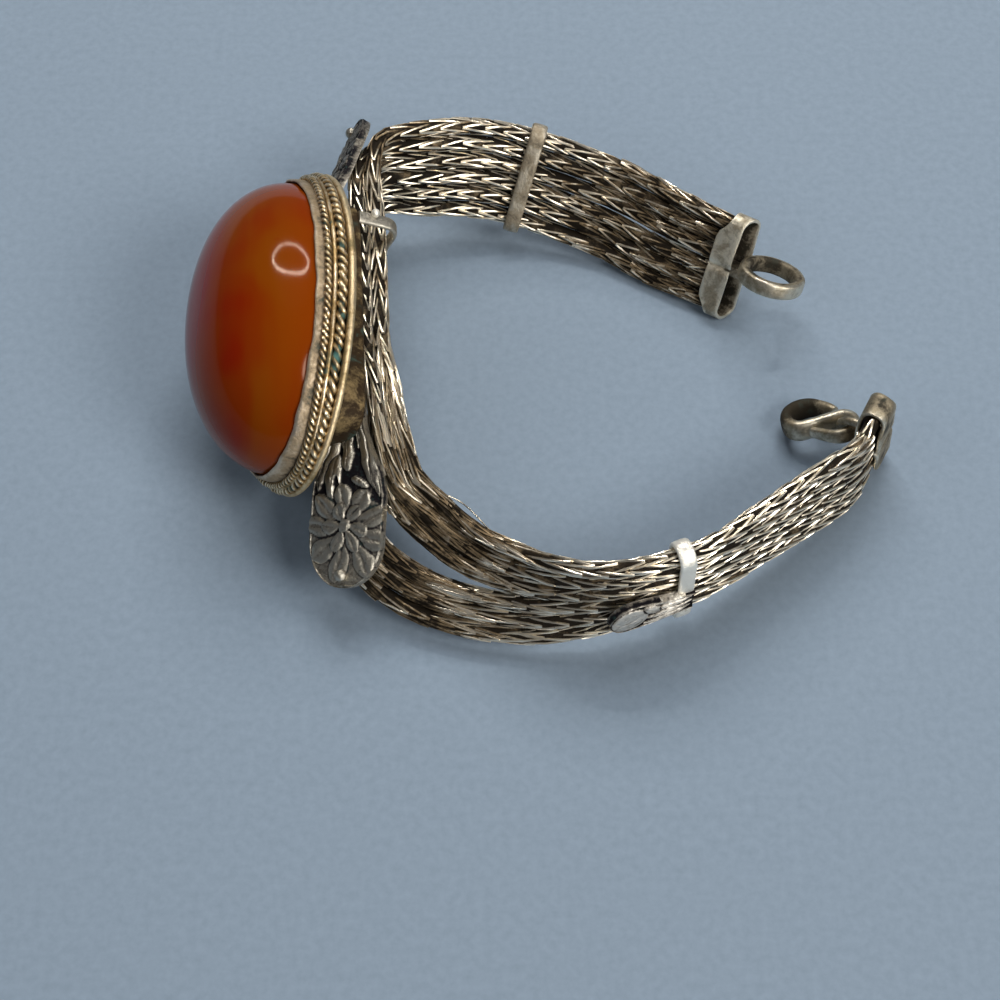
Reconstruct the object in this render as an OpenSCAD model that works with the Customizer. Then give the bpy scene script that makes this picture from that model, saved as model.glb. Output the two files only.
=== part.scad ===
// Bracelet of six round woven silver chains side by side, unclasped and laid down on its edge.
// A large oval cabochon in a soldered setting rides on the chains, with a leaf plate at each end.
// Millimetres, Z up; zero is on the table under the middle of the whole bracelet.

/* [Chains] */
// Diameter of one woven chain
chain_d = 2.3; // [2.1:0.1:2.3]
// Distance between the middles of two neighbouring chains
chain_pitch = 2.45; // [2.45:0.01:2.6]
// Sides of the tube that stands for a chain
chain_sides = 8; // [8:1:10]
// Rings worked out between two rows of the table of sections
rings_per_row = 3; // [2:1:4]

/* [Stone] */
// Length of the stone, along the band
stone_l = 42; // [40:0.1:46]
// Width of the stone, across the band
stone_w = 29.8; // [26:0.1:30]
// Height of the dome above the collar
dome_h = 12.2; // [10:0.1:15]
// Fullness of the dome, from 1 for half an ellipse down to a squarer one
dome_fullness = 0.86; // [0.7:0.02:1]

/* [Setting] */
// Thickness of the collar round the stone
collar_wall = 0.6; // [0.5:0.1:0.8]
// Height of the setting, from the flange's back to the collar's edge
setting_h = 4.9; // [4.7:0.1:6]
// How far the flange stands out past the collar
flange_out = 1.5; // [1.3:0.1:2]
// Thickness of the flange
flange_t = 1.1; // [1.1:0.1:1.3]
// Teeth of the coarse ring and of the fine ring
coarse_teeth = 100; // [60:2:120]
fine_teeth = 130; // [80:2:160]
// Depth of the box behind the flange, which carries the chains
box_depth = 4.5; // [4:0.1:5]
// Width of that box, and how far it stays back from each end of the stone
box_w = 16.8; // [14:0.2:18]
box_back = 3.5; // [3:0.5:5]
// Width and thickness of the guide straps on the box
guide_w = 1.9; // [1.6:0.1:3]
guide_t = 0.7; // [0.5:0.1:0.9]
// Angle by which the stone's face looks up from level
face_up = 26; // [20:1:30]
// Angle by which the stone's face is turned towards the far side
face_turn = 3.5; // [0:0.5:6]
// Middle of the flange's back, from the zero point
setting_at = [-31.1, 1.9, 15.65]; // [-60:0.1:60]

/* [Leaf plates] */
// Length of a leaf plate
leaf_l = 23; // [20:0.5:24]
// Width of a leaf plate at its widest
leaf_w = 10.6; // [9:0.1:12]
// Thickness of a leaf plate without its relief
leaf_t = 0.8; // [0.6:0.1:1]
// Height of the relief
relief = 0.5; // [0.3:0.1:0.7]

/* [Sliders] */
// Width of a slider's strap, along the band
slider_w = 2.2; // [1.8:0.1:2.6]
// Thickness of a slider's sheet
slider_t = 0.7; // [0.5:0.1:0.9]
// Room between a slider and the chains
slider_room = 0.2; // [0.15:0.05:0.4]
// Length and width of the flower plate on a slider's outer face
plate_l = 10.5; // [9:0.5:12]
plate_w = 6; // [5:0.1:8]
// Thickness of the flower plate, how far its root sits below the middle of the band, and its slant
plate_t = 0.7; // [0.6:0.1:0.9]
plate_low = 2.2; // [0:0.1:4.5]
plate_turn = 4; // [0:1:20]

/* [Clasp] */
// Length of an end cap
cap_l = 5; // [4.4:0.1:5.4]
// Thickness of an end cap's sheet
cap_t = 0.5; // [0.4:0.1:0.6]
// How much shorter the far cap is on the wall that faces the inside of the loop
cap_slant = 1.5; // [0:0.1:1.6]
// Room between a cap and its chains
cap_room = 0.15; // [0.12:0.01:0.2]
// Inside radius of the eye
eye_r = 3.3; // [3:0.1:4]
// Thickness and width of the strip that the eye is bent from
eye_t = 1.4; // [0.9:0.1:1.5]
eye_w = 2.2; // [2:0.1:3]
// Radius of the wire loop on the near cap, to the middle of the wire, and the wire's thickness
loop_r = 2.6; // [2.5:0.1:2.7]
loop_wire = 1.2; // [1:0.1:1.2]
// Thickness of the hook in its open bend, in the cap's loop and at its tips, in its own plane
hook_t = 1.8; // [1.4:0.1:2.1]
hold_t = 1.5; // [1.2:0.1:1.6]
tip_t = 1; // [0.6:0.1:1.2]
// Width of the hook in its open bend, in the cap's loop and at its tips, square to its plane
hook_w = 3.5; // [2.6:0.1:3.6]
hold_w = 2.6; // [2:0.1:2.8]
tip_w = 1.4; // [0.9:0.1:1.6]
// Radius of the hook's open bend and of its closed bend, to the middle of the wire
open_bend = 2.8; // [2.6:0.1:3]
closed_bend = 2.2; // [2.2:0.1:2.4]
// Turn of the closed bend about the stretch that lies in the loop
hold_turn = 10; // [0:5:30]
// How the hook lies: its turn in plan, its slope down to the table, and the lean of its plane
hook_lies = [-27, 26, 15]; // [-30:1:30]

/* [Hidden] */
CHAINS = 6;
SILVER = [0.72, 0.69, 0.62];
GILT = [0.66, 0.57, 0.36];
AMBER = [0.80, 0.34, 0.05];
round_fn = 64;
small_fn = 24;
// How deep two parts of one solid are sunk into each other
sunk = 0.1;
// Room between the stone and its collar
stone_room = 0.1;
// Distance from the flange's back to the middle of the two bundles behind it
chains_back = box_depth + 0.2 + (chain_d + chain_pitch) / 2;
// Extra gap in mid-band behind the setting
back_gap = 1.2;
// Rings on the flange. Columns: height of the foot, height, and how much smaller than the flange
coarse_ring = [1, 1.4, 0.5];
plain_ring = [2.3, 0.7, 1.4];
fine_ring = [2.9, 1.2, 1.6];

// Sections of the band on either side of the setting, from the far cap round to the near cap.
// Columns: x, y, height of the band's middle, lean of its top edge outward, extra gap in mid-band,
// and bunching of each half, from 0 for three chains in a row to 90 for a triangle of three
far_sections = [
    [23.7, 20.4, 7.15, 30, 0.0, 0],
    [17.4, 24.2, 6.8, 34, 0.3, 0],
    [9.4, 29.1, 7.4, 36, 0.1, 0],
    [-2.2, 32.7, 9.4, 34, 0.0, 0],
    [-9.8, 33.3, 11.0, 33, 0.0, 0],
    [-17.1, 32.3, 12.0, 25, 0.0, 0],
    [-22.6, 31.1, 12.8, 10, 0.2, 20],
    [-25.3, 26.7, 13.4, -12, 0.6, 60]];
near_sections = [
    [-23.4, -8.1, 13.1, -30, 1.6, 80],
    [-22.7, -16.1, 12.0, -43, 1.5, 45],
    [-21.1, -22.4, 10.2, -50, 2.4, 20],
    [-16.8, -26.8, 8.6, -50, 2.4, 0],
    [-11.0, -30.2, 7.8, -44, 1.0, 0],
    [-4.0, -32.7, 8.2, -32, 0.2, 0],
    [2.0, -34.1, 9.4, -18, 0.0, 0],
    [8.8, -34.2, 10.6, -6, 0.0, 0],
    [18.8, -31.2, 11.0, -1, 0.0, 0],
    [26.8, -25.7, 10.2, -3, 0.0, 0],
    [35.0, -19.5, 8.9, -5, 0.3, 0],
    [39.3, -16.1, 7.9, -4, 0.3, 0],
    [41.4, -13.6, 7.4, -4, 0.1, 0],
    [42.4, -11.8, 7.7, -3, 0.0, 0]];
// Places behind the setting where the chains run straight, measured from its middle
straight_at = [17, 10, 3, -3];
// Places of the two sliders, counted in sections from the far cap
far_slider_at = 3;
near_slider_at = 19.8;

// How each leaf plate is soldered on the setting and how it has been bent.
// Columns: place across, place along and depth of its root; droop; turn to the table; roll
far_leaf = [2, 16.2, -0.4, 19, 0, 0];
near_leaf = [4, 16, -4.0, 6, 28, -40];

// Guide straps behind the setting. Columns: side of the band, with 1 the upper one; place along it
guides = [[1, 14.6], [-1, 14.6], [-1, -9]];
guide_corner = 1.5;

// Pairs of pointed leaves on a leaf plate. Columns: place across and along, turn outward, length as
// a share of the plate's, width
leaf_blades = [[0.3, 1, 12, 0.4, 1.9], [1, 3.5, 27, 0.27, 1.6]];
// Half the width of a leaf plate's stem
stem = 1.7;
// Flower on a leaf plate and ball at its tip: places as a share of the length, and radii
leaf_flower = [0.64, 0.43 * leaf_w];
leaf_ball = [0.93, 0.75];
// Pointed leaves on a slider's plate: their turns, length and width
plate_blades = [-30, 0, 30];
plate_blade = [4.2, 1.4];

function unit(v) = v / norm(v);

// Axes of the setting: across the stone, along it towards the far side, and out of its face
set_across = [sin(face_up) * cos(face_turn), sin(face_up) * sin(face_turn), cos(face_up)];
set_along = [-sin(face_turn), cos(face_turn), 0];
set_out = cross(set_across, set_along);
function in_setting(p) = setting_at + p[0] * set_across + p[1] * set_along + p[2] * set_out;
function back_row(y) = concat(in_setting([0, y, -chains_back]), [-face_up, back_gap, 90]);
sections = concat(far_sections, [for (y = straight_at) back_row(y)], near_sections);
last = len(sections) - 1;

// A smooth curve through four rows, read between the second and the third
function curve(a, b, c, d, f) =
    0.5 * (2 * b + (c - a) * f + (2 * a - 5 * b + 4 * c - d) * f * f + (3 * b - a - 3 * c + d) * f * f * f);
function row(i) = i < 0 ? 2 * sections[0] - sections[1]
    : i > last ? 2 * sections[last] - sections[last - 1] : sections[i];
function section(u) =
    let (i = min(max(floor(u), 0), last - 1)) curve(row(i - 1), row(i), row(i + 1), row(i + 2), u - i);
function middle(u) = let (s = section(u)) [s[0], s[1], s[2]];
function heading(u) = unit(middle(min(u + 0.02, last)) - middle(max(u - 0.02, 0)));
// The band's width line leans outward, square to its heading
function across(u) =
    let (t = heading(u), lean = section(u)[3], out = unit([t[1], -t[0], 0]),
         w = [0, 0, cos(lean)] + sin(lean) * out)
    unit(w - (w * t) * t);
function outward(u) = cross(heading(u), across(u));

// Place of chain i in a section, across the band and out of it; the lower bundle holds chains 0 to 2
function chain_spot(i, gap, bunch) =
    let (side = i < CHAINS / 2 ? -1 : 1, k = side > 0 ? i - 3 : 2 - i, p = chain_pitch,
         pair = (0.5 - 0.21 * bunch / 90) * p, mid = 1.5 * p + gap / 2)
    k == 0 ? [side * (mid - p + 0.42 * p * pow(bunch / 90, 2)), 0]
    : k == 1 ? [side * (mid + pair - p / 2 * cos(bunch)), p / 2 * sin(bunch)]
    : [side * (mid + pair + p / 2 * cos(bunch)), -p / 2 * sin(bunch)];
function band_half(gap) = 2.5 * chain_pitch + (chain_d + gap) / 2;
function chain_ring(i, u, on) =
    let (s = section(u), w = across(u), n = outward(u), at = chain_spot(i, s[4], min(90, max(0, s[5]))),
         c = middle(u) + on * heading(u) + at[0] * w + at[1] * n)
    [for (k = [0:chain_sides - 1]) let (a = (k + 0.5) * 360 / chain_sides)
        c + chain_d / 2 * (cos(a) * w + sin(a) * n)];

// Puts its children on the band at u: X across it, Y against its heading, Z outward
module on_band(u) {
    x = across(u);
    y = -heading(u);
    z = outward(u);
    m = middle(u);
    multmatrix([[x[0], y[0], z[0], m[0]], [x[1], y[1], z[1], m[1]], [x[2], y[2], z[2], m[2]]]) children();
}

module on_setting() {
    x = set_across;
    y = set_along;
    z = set_out;
    m = setting_at;
    multmatrix([[x[0], y[0], z[0], m[0]], [x[1], y[1], z[1], m[1]], [x[2], y[2], z[2], m[2]]]) children();
}

// A closed tube through rings of points that all have the same number of corners
module skin(rings) {
    n = len(rings[0]);
    polyhedron(
        points = [for (r = rings) for (p = r) p],
        faces = concat(
            [[for (k = [0:n - 1]) k]],
            [for (j = [0:len(rings) - 2]) for (k = [0:n - 1]) let (q = (k + 1) % n)
                [j * n + k, (j + 1) * n + k, (j + 1) * n + q, j * n + q]],
            [[for (k = [n - 1:-1:0]) (len(rings) - 1) * n + k]]));
}

module oval(l, w, h) {
    scale([w / 2, l / 2, 1]) cylinder(r = 1, h = h, $fn = round_fn);
}

// Chain i runs from inside the far cap to inside the near cap
module chain(i) {
    steps = last * rings_per_row;
    color(SILVER)
        skin(concat(
            [chain_ring(i, 0, -chain_in)],
            [for (j = [0:steps]) chain_ring(i, j / rings_per_row, 0)],
            [chain_ring(i, last, chain_in)]));
}

// Ring round the collar with upright teeth, like milled or roped wire
module milled(l, w, h, teeth, depth) {
    linear_extrude(h)
        polygon([for (k = [0:2 * teeth - 1]) let (a = k * 180 / teeth, in = k % 2 == 0 ? 0 : depth)
            [(w / 2 - in) * cos(a), (l / 2 - in) * sin(a)]]);
}

// Outline of a leaf plate, its stem at zero and its round tip at leaf_l
function leaf_half(v) = stem + (leaf_w / 2 - stem) * pow(sin(90 * min(1, v / 0.5)), 2);
function leaf_edge(v) = v < 0.74 ? leaf_half(v) : leaf_w / 2 * sqrt(max(0, 1 - pow((v - 0.74) / 0.26, 2)));
module leaf_outline() {
    steps = 22;
    right = [for (j = [0:steps]) let (v = j / steps) [leaf_edge(v), v * leaf_l]];
    left = [for (j = [steps - 1:-1:0]) let (v = j / steps) [-leaf_edge(v), v * leaf_l]];
    polygon(concat(right, left));
}

// Pointed leaf of the relief, its foot at zero
module blade(l, w, h) {
    steps = 6;
    linear_extrude(h)
        polygon(concat(
            [for (j = [0:steps]) [w / 2 * sin(180 * j / steps), l * j / steps]],
            [for (j = [steps - 1:-1:1]) [-w / 2 * sin(180 * j / steps), l * j / steps]]));
}

// Flower of round petals about an oval heart
module flower(r, h) {
    for (a = [30:60:330])
        rotate([0, 0, a]) translate([r * 0.64, 0, 0]) cylinder(r = r * 0.36, h = h, $fn = small_fn);
    oval(r * 0.95, r * 0.6, h * 1.4);
}

module leaf_plate() {
    linear_extrude(leaf_t) leaf_outline();
    translate([0, 0, leaf_t - sunk]) {
        for (b = leaf_blades)
            for (side = [-1, 1])
                translate([b[0] * side, b[1], 0])
                    rotate([0, 0, -b[2] * side]) blade(leaf_l * b[3], b[4], relief + sunk);
        translate([0, leaf_l * leaf_flower[0], 0]) flower(leaf_flower[1], relief + sunk);
        translate([0, leaf_l * leaf_ball[0], 0]) cylinder(r = leaf_ball[1], h = relief + 0.5, $fn = small_fn);
    }
}

// A leaf plate on an end of the box: side 1 is the far one, side -1 the near one
module leaf_on(side, place) {
    translate([place[0], side * place[1], place[2]])
        rotate([0, 0, side > 0 ? place[4] : 180 - place[4]])
            rotate([-place[3], 0, 0])
                rotate([0, place[5], 0])
                    translate([0, -2.5, -leaf_t]) leaf_plate();
}

// Round-cornered strap bent over a bundle of three chains behind the box
module guide(side, y) {
    half = chain_pitch * 0.9 + chain_d / 2 + slider_room;
    deep = chain_pitch + chain_d + 2 * slider_room;
    translate([side * (1.5 * chain_pitch + back_gap / 2), y, -box_depth])
        rotate([90, 0, 0])
            linear_extrude(guide_w, center = true)
                difference() {
                    guide_outline(half + guide_t, deep + guide_t, guide_corner + guide_t);
                    guide_outline(half, deep, guide_corner);
                }
}
module guide_outline(half, deep, r) {
    translate([-half, r - deep]) square([2 * half, deep - r + 0.3]);
    translate([r - half, -deep]) square([2 * (half - r), r + 0.1]);
    for (s = [-1, 1])
        translate([s * (half - r), r - deep]) circle(r = r, $fn = round_fn);
}

module setting() {
    in_l = stone_l + 2 * stone_room;
    in_w = stone_w + 2 * stone_room;
    out_l = in_l + 2 * (collar_wall + flange_out);
    out_w = in_w + 2 * (collar_wall + flange_out);
    color(GILT) {
        on_setting() {
            difference() {
                union() {
                    oval(out_l, out_w, flange_t);
                    translate([0, 0, coarse_ring[0]])
                        milled(out_l - coarse_ring[2], out_w - coarse_ring[2],
                               coarse_ring[1], coarse_teeth, 0.3);
                    translate([0, 0, plain_ring[0]])
                        oval(out_l - plain_ring[2], out_w - plain_ring[2], plain_ring[1]);
                    translate([0, 0, fine_ring[0]])
                        milled(out_l - fine_ring[2], out_w - fine_ring[2], fine_ring[1], fine_teeth, 0.25);
                    oval(in_l + 2 * collar_wall, in_w + 2 * collar_wall, setting_h);
                }
                translate([0, 0, flange_t]) oval(in_l, in_w, setting_h);
            }
            translate([-box_w / 2, box_back - stone_l / 2, -box_depth])
                cube([box_w, stone_l - 2 * box_back, box_depth + sunk]);
            for (g = guides)
                guide(g[0], g[1]);
            leaf_on(1, far_leaf);
            leaf_on(-1, near_leaf);
        }
    }
}

// Cabochon: an upright girdle inside the collar under a full dome
module stone() {
    rows = 9;
    sides = 48;
    foot = flange_t + stone_room;
    girdle = setting_h - 1.3;
    color(AMBER)
        on_setting()
            skin(concat(
                [for (h = [foot, girdle]) [for (k = [0:sides - 1]) let (a = k * 360 / sides)
                    [stone_w / 2 * cos(a), stone_l / 2 * sin(a), h]]],
                [for (j = [1:rows]) let (f = 90 * j / (rows + 0.3), r = pow(cos(f), dome_fullness))
                    [for (k = [0:sides - 1]) let (a = k * 360 / sides)
                        [stone_w / 2 * r * cos(a), stone_l / 2 * r * sin(a), girdle + dome_h * sin(f)]]]));
}

// Round-ended outline of a slider's plate, its narrow end on the strap
module plate_outline() {
    translate([0, plate_l - plate_w / 2]) circle(d = plate_w, $fn = round_fn);
    polygon([[-1.9, -1], [1.9, -1], [plate_w / 2 - 0.1, plate_l - plate_w / 2 - 0.6],
             [0.1 - plate_w / 2, plate_l - plate_w / 2 - 0.6]]);
}

// Round-ended outline, twice half wide and twice deep deep
module flat_round(half, deep) {
    square([2 * (half - deep), 2 * deep], center = true);
    for (s = [-1, 1])
        translate([s * (half - deep), 0]) circle(r = deep, $fn = round_fn);
}

// Strap ring round the whole band, with a flower plate on its outer face that points to the setting
module slider(u, toward) {
    half = band_half(section(u)[4]) + slider_room;
    deep = chain_d / 2 + slider_room;
    color(SILVER)
        on_band(u) {
            rotate([90, 0, 0])
                linear_extrude(slider_w, center = true)
                    difference() {
                        flat_round(half + slider_t, deep + slider_t);
                        flat_round(half, deep);
                    }
            translate([-plate_low, 0, deep + sunk])
                rotate([0, 0, toward < 0 ? 180 + plate_turn : -plate_turn]) {
                    linear_extrude(plate_t) plate_outline();
                    translate([0, plate_l - plate_w / 2, plate_t - sunk])
                        flower(plate_w * 0.4, relief + sunk);
                    for (b = plate_blades)
                        translate([0, 0.4, plate_t - sunk])
                            rotate([0, 0, b]) blade(plate_blade[0], plate_blade[1], relief + sunk);
                }
        }
}

// Outline of one end of a cap: two flat round-ended loops that meet at a pinch
module cap_outline(spread) {
    deep = chain_d / 2 + cap_room + spread;
    for (s = [-1, 1])
        translate([s * chain_pitch * 1.5, 0]) flat_round(chain_pitch + deep, deep);
}

// How far the chains run into a cap, and where the cap's rim lies past the last section
chain_in = 2.6;
cap_from = 0.4;
// Scallops in a cap's rim: radius, and place of their middle across and along the cap
scallop = [5, 8.6, -3.4];
// Width of the solder between the two loops of a cap
web_w = 1.4;

// A cap: Z runs out of the band's end, X lies across the band, Y points out of the loop. Its end is
// cut aslant, so that the wall on the inside is shorter by slant
module cap(slant) {
    web = chain_in - cap_from + 0.3;
    deep = chain_d / 2 + cap_room + cap_t;
    difference() {
        linear_extrude(cap_l) cap_outline(cap_t);
        translate([0, 0, -1]) linear_extrude(cap_l + 2) cap_outline(0);
        translate([0, deep, cap_l]) rotate([atan(slant / (2 * deep)), 0, 0])
            translate([-10, -10, 0]) cube([20, 14, 4]);
        for (s = [-1, 1])
            translate([s * scallop[1], 0, scallop[2]])
                rotate([90, 0, 0]) cylinder(r = scallop[0], h = 8, center = true, $fn = round_fn);
    }
    translate([-web_w / 2, -chain_d / 2 - 0.3, web]) cube([web_w, chain_d + 0.6, cap_l - web]);
}

// Puts a cap's axes at an end of the band
module at_end(u) {
    far = u < last / 2;
    z = far ? -heading(u) : heading(u);
    y = outward(u);
    x = cross(y, z);
    m = middle(u) + cap_from * z;
    multmatrix([[x[0], y[0], z[0], m[0]], [x[1], y[1], z[1], m[1]], [x[2], y[2], z[2], m[2]]]) children();
}

// Far cap with the eye, a strip bent to a ring and soldered at the pinch; the eye sits below the
// middle of the band and a little towards the inside of the loop
eye_at = [-1.2, -0.4, cap_l + eye_r + 0.7];
module cap_far() {
    outer = eye_r + eye_t;
    color(SILVER)
        at_end(0) {
            cap(cap_slant);
            translate(eye_at) rotate([0, 90, 0])
                difference() {
                    cylinder(r = outer, h = eye_w, center = true, $fn = round_fn);
                    cylinder(r = eye_r, h = eye_w + 1, center = true, $fn = round_fn);
                }
        }
}

// Middle of the loop on the near cap's inner face, and of the hook's wire in it
cap_face = -chain_d / 2 - cap_room - cap_t;
loop_at = [-1.6, cap_face - 0.4, cap_l - 2.2];
hook_hang = [loop_at[0] - 0.1, cap_face - 1.05, loop_at[2] + 0.5];

module cap_near() {
    color(SILVER)
        at_end(last) {
            cap(0);
            translate(loop_at)
                intersection() {
                    rotate_extrude($fn = round_fn)
                        translate([loop_r, 0]) circle(d = loop_wire, $fn = small_fn);
                    translate([-4, -4, -2]) cube([8, 4.4 + sunk, 4]);
                }
        }
}

// The hook is one strip in an S: an open bend, a middle bar and a bend closed round the cap's loop.
// It is drawn flat, with the stretch that lies in the cap's loop at zero.
bend_steps = 12;
function bend(c, r, from, to) =
    [for (j = [0:bend_steps]) let (a = from + (to - from) * j / bend_steps) c + r * [cos(a), sin(a)]];
closed_at = -closed_bend * [cos(hold_turn), sin(hold_turn)];
open_at = [-7.4, 0.3];
// Two points lead from each tip into its bend, measured from the middle of the bend
hook_line = concat(
    [open_at + [3.2, open_bend - 0.5], open_at + [1.9, open_bend - 0.1]],
    bend(open_at, open_bend, 75, 285),
    bend(closed_at, closed_bend, 110, -95),
    [closed_at + [-1.6, 0.1 - closed_bend], closed_at + [-3.2, 0.3 - closed_bend]]);
hook_end = len(hook_line) - 1;
function hook_way(j) =
    let (p = hook_line) unit(p[min(j + 1, hook_end)] - p[max(j - 1, 0)]);
// The open bend keeps its size nearly to the tip; the closed one tapers evenly
function taper(j, tip, full) =
    tip + (full - tip) * pow(sin(180 * j / hook_end), j < hook_end / 2 ? 0.4 : 0.6);
// The strip keeps its full size to the end of the open bend and thins to its size in the loop
function before_loop(j, hold, full) = hold + (full - hold) * min(1, max(0, (bend_steps + 4 - j) / 6));
function hook_ring(j) =
    let (p = hook_line[j], t = hook_way(j), r = taper(j, tip_t, before_loop(j, hold_t, hook_t)) / 2,
         w = taper(j, tip_w, before_loop(j, hold_w, hook_w)) / 2)
    [for (k = [0:9]) let (a = k * 36) [p[0] - t[1] * r * cos(a), p[1] + t[0] * r * cos(a), w * sin(a)]];

module hook() {
    z = heading(last);
    y = outward(last);
    x = across(last);
    hang = middle(last) + hook_hang[0] * x + hook_hang[1] * y + (cap_from + hook_hang[2]) * z;
    color(SILVER)
        translate(hang)
            rotate([0, 0, hook_lies[0]]) rotate([0, -hook_lies[1], 0]) rotate([-hook_lies[2], 0, 0])
                skin([for (j = [0:hook_end]) hook_ring(j)]);
}

for (i = [0:CHAINS - 1])
    chain(i);
setting();
stone();
slider(far_slider_at, -1);  // slider_far
slider(near_slider_at, 1);  // slider_near
cap_far();
cap_near();
hook();
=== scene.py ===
import math
import bmesh
import bpy
import numpy as np
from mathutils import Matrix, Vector


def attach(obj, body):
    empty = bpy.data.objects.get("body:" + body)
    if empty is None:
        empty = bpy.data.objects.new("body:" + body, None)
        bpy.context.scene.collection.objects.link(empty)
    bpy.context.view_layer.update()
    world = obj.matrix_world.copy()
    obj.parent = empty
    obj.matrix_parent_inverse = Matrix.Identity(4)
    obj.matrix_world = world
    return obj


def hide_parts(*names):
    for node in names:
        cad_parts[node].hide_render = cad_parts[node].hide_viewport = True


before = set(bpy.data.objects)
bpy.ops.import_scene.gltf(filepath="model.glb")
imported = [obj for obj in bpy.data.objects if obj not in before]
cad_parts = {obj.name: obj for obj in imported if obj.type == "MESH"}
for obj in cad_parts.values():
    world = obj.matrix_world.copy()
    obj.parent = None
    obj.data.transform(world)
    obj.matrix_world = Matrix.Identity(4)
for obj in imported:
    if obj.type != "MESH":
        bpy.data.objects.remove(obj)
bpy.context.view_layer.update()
print("frame loaded,", len(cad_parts), "nodes")

mm = 0.001  # every size down to the studio is in millimetres
smoothAngle = 50  # edges sharper than this many degrees stay sharp
seeded = np.random.default_rng(11)


# meshes


def unit(v):
    # each vector divided by its own length
    return v / np.maximum(np.linalg.norm(v, axis=-1, keepdims=True), 1e-12)


def angles(count):
    # a full turn in equal steps, in radians
    return np.arange(count) * 2 * np.pi / count


def roundWire(radius, sides):
    # round section, as offsets across and through
    k = angles(sides)
    return np.stack([np.cos(k), np.sin(k)], 1) * radius


def squared(v, power):
    # a sine or cosine raised to a power below one with its sign kept, which squares up an ellipse
    return np.sign(v) * np.abs(v) ** power


def waves(a, terms):
    # a sum of sines along an angle, each with its size, its count in a turn and its start
    return sum(size * np.sin(count * a + start) for size, count, start in terms)


def turned(axis, degrees):
    # rotation matrix about one of the three axes
    c, s = math.cos(math.radians(degrees)), math.sin(math.radians(degrees))
    if axis == "x":
        return np.array([[1, 0, 0], [0, c, -s], [0, s, c]])
    if axis == "y":
        return np.array([[c, 0, s], [0, 1, 0], [-s, 0, c]])
    return np.array([[c, -s, 0], [s, c, 0], [0, 0, 1]])


def gridFaces(rows, columns, closedRows=False):
    # numbers of the points in rows and columns, and the four-cornered faces between them; the columns go round
    index = np.arange(rows * columns).reshape(rows, columns)
    loop = np.vstack([index, index[:1]]) if closedRows else index
    loop = np.hstack([loop, loop[:, :1]])
    return index, np.stack([loop[:-1, :-1], loop[1:, :-1], loop[1:, 1:], loop[:-1, 1:]], -1).reshape(-1, 4)


def gridSurface(grid, sunk=0.0, closedRows=False):
    # a grid of points as a surface; an open first or last row is closed with a fan to its middle
    rows, columns = grid.shape[:2]
    index, quads = gridFaces(rows, columns, closedRows)
    points = grid.reshape(-1, 3)
    deep = np.broadcast_to(np.asarray(sunk, float), (rows, columns)).reshape(-1)
    fans = np.zeros((0, 3), int)
    if not closedRows:
        n = len(points)
        points = np.vstack([points, grid[0].mean(0), grid[-1].mean(0)])
        deep = np.append(deep, [deep[:columns].mean(), deep[-columns:].mean()])
        fans = np.vstack([np.stack([index[0], np.roll(index[0], -1), np.full(columns, n)], 1),
                          np.stack([np.roll(index[-1], -1), index[-1], np.full(columns, n + 1)], 1)])
    return points, quads, fans, deep


def joined(surfaces):
    # several surfaces as one, each one's faces counted on from the points before it
    points, quads, fans, deep, start = [], [], [], [], 0
    for p, q, t, d in surfaces:
        points.append(p)
        quads.append(q + start)
        fans.append(t + start)
        deep.append(d)
        start += len(p)
    return np.vstack(points), np.vstack(quads), np.vstack(fans), np.concatenate(deep)


def addPiece(name, surface, material, node):
    # a surface in millimetres into a mesh at the origin, with how deep each point lies in the relief as an
    # attribute, which on several pieces also carries painted shade; the piece rides on the one body and stands for
    # a CAD node
    points, quads, fans, deep = surface
    mesh = bpy.data.meshes.new(name)
    corners = np.concatenate([quads.ravel(), fans.ravel()]).astype(np.int32)
    sizes = np.concatenate([np.full(len(quads), 4), np.full(len(fans), 3)])
    mesh.vertices.add(len(points))
    mesh.vertices.foreach_set("co", (points * mm).astype(np.float32).ravel())
    mesh.loops.add(len(corners))
    mesh.loops.foreach_set("vertex_index", corners)
    mesh.polygons.add(len(sizes))
    mesh.polygons.foreach_set("loop_start", np.concatenate([[0], np.cumsum(sizes)[:-1]]).astype(np.int32))
    mesh.update(calc_edges=True)
    mesh.validate()
    layer = mesh.attributes.new("sunk", "FLOAT", "POINT")
    layer.data.foreach_set("value", np.clip(deep, 0, 1).astype(np.float32))
    work = bmesh.new()
    work.from_mesh(mesh)
    bmesh.ops.recalc_face_normals(work, faces=work.faces)
    work.to_mesh(mesh)
    work.free()
    mesh.polygons.foreach_set("use_smooth", np.ones(len(mesh.polygons), bool))
    mesh.set_sharp_from_angle(angle=math.radians(smoothAngle))
    mesh.materials.append(material)
    piece = bpy.data.objects.new(name, mesh)
    bpy.context.scene.collection.objects.link(piece)
    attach(piece, "root")
    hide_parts(node)


def carried(path, side, up, profile):
    # a profile carried along a path: at each point of the path the profile's first number goes along side
    # and its second along up, which may be the same all the way
    profile = np.broadcast_to(profile, (len(path),) + profile.shape[-2:])
    side, up = (np.broadcast_to(v, path.shape)[:, None] for v in (side, up))
    return path[:, None] + profile[..., :1] * side + profile[..., 1:] * up


def roundedBar(width, thick, corner, steps=3):
    # rectangle with quarter-circle corners, as offsets across and through
    quarter = np.linspace(0, np.pi / 2, steps + 1)
    parts = []
    for k, (sx, sy) in enumerate([(1, 1), (-1, 1), (-1, -1), (1, -1)]):
        a = quarter + k * np.pi / 2
        parts.append(np.stack([sx * (width / 2 - corner) + corner * np.cos(a),
                               sy * (thick / 2 - corner) + corner * np.sin(a)], 1))
    return np.vstack(parts)


def softBar(width, thick, sides=16, fullness=0.62):
    # oval section between an ellipse and a rectangle
    k = angles(sides)
    return np.stack([width / 2 * squared(np.cos(k), fullness), thick / 2 * squared(np.sin(k), fullness)], 1)


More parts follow.
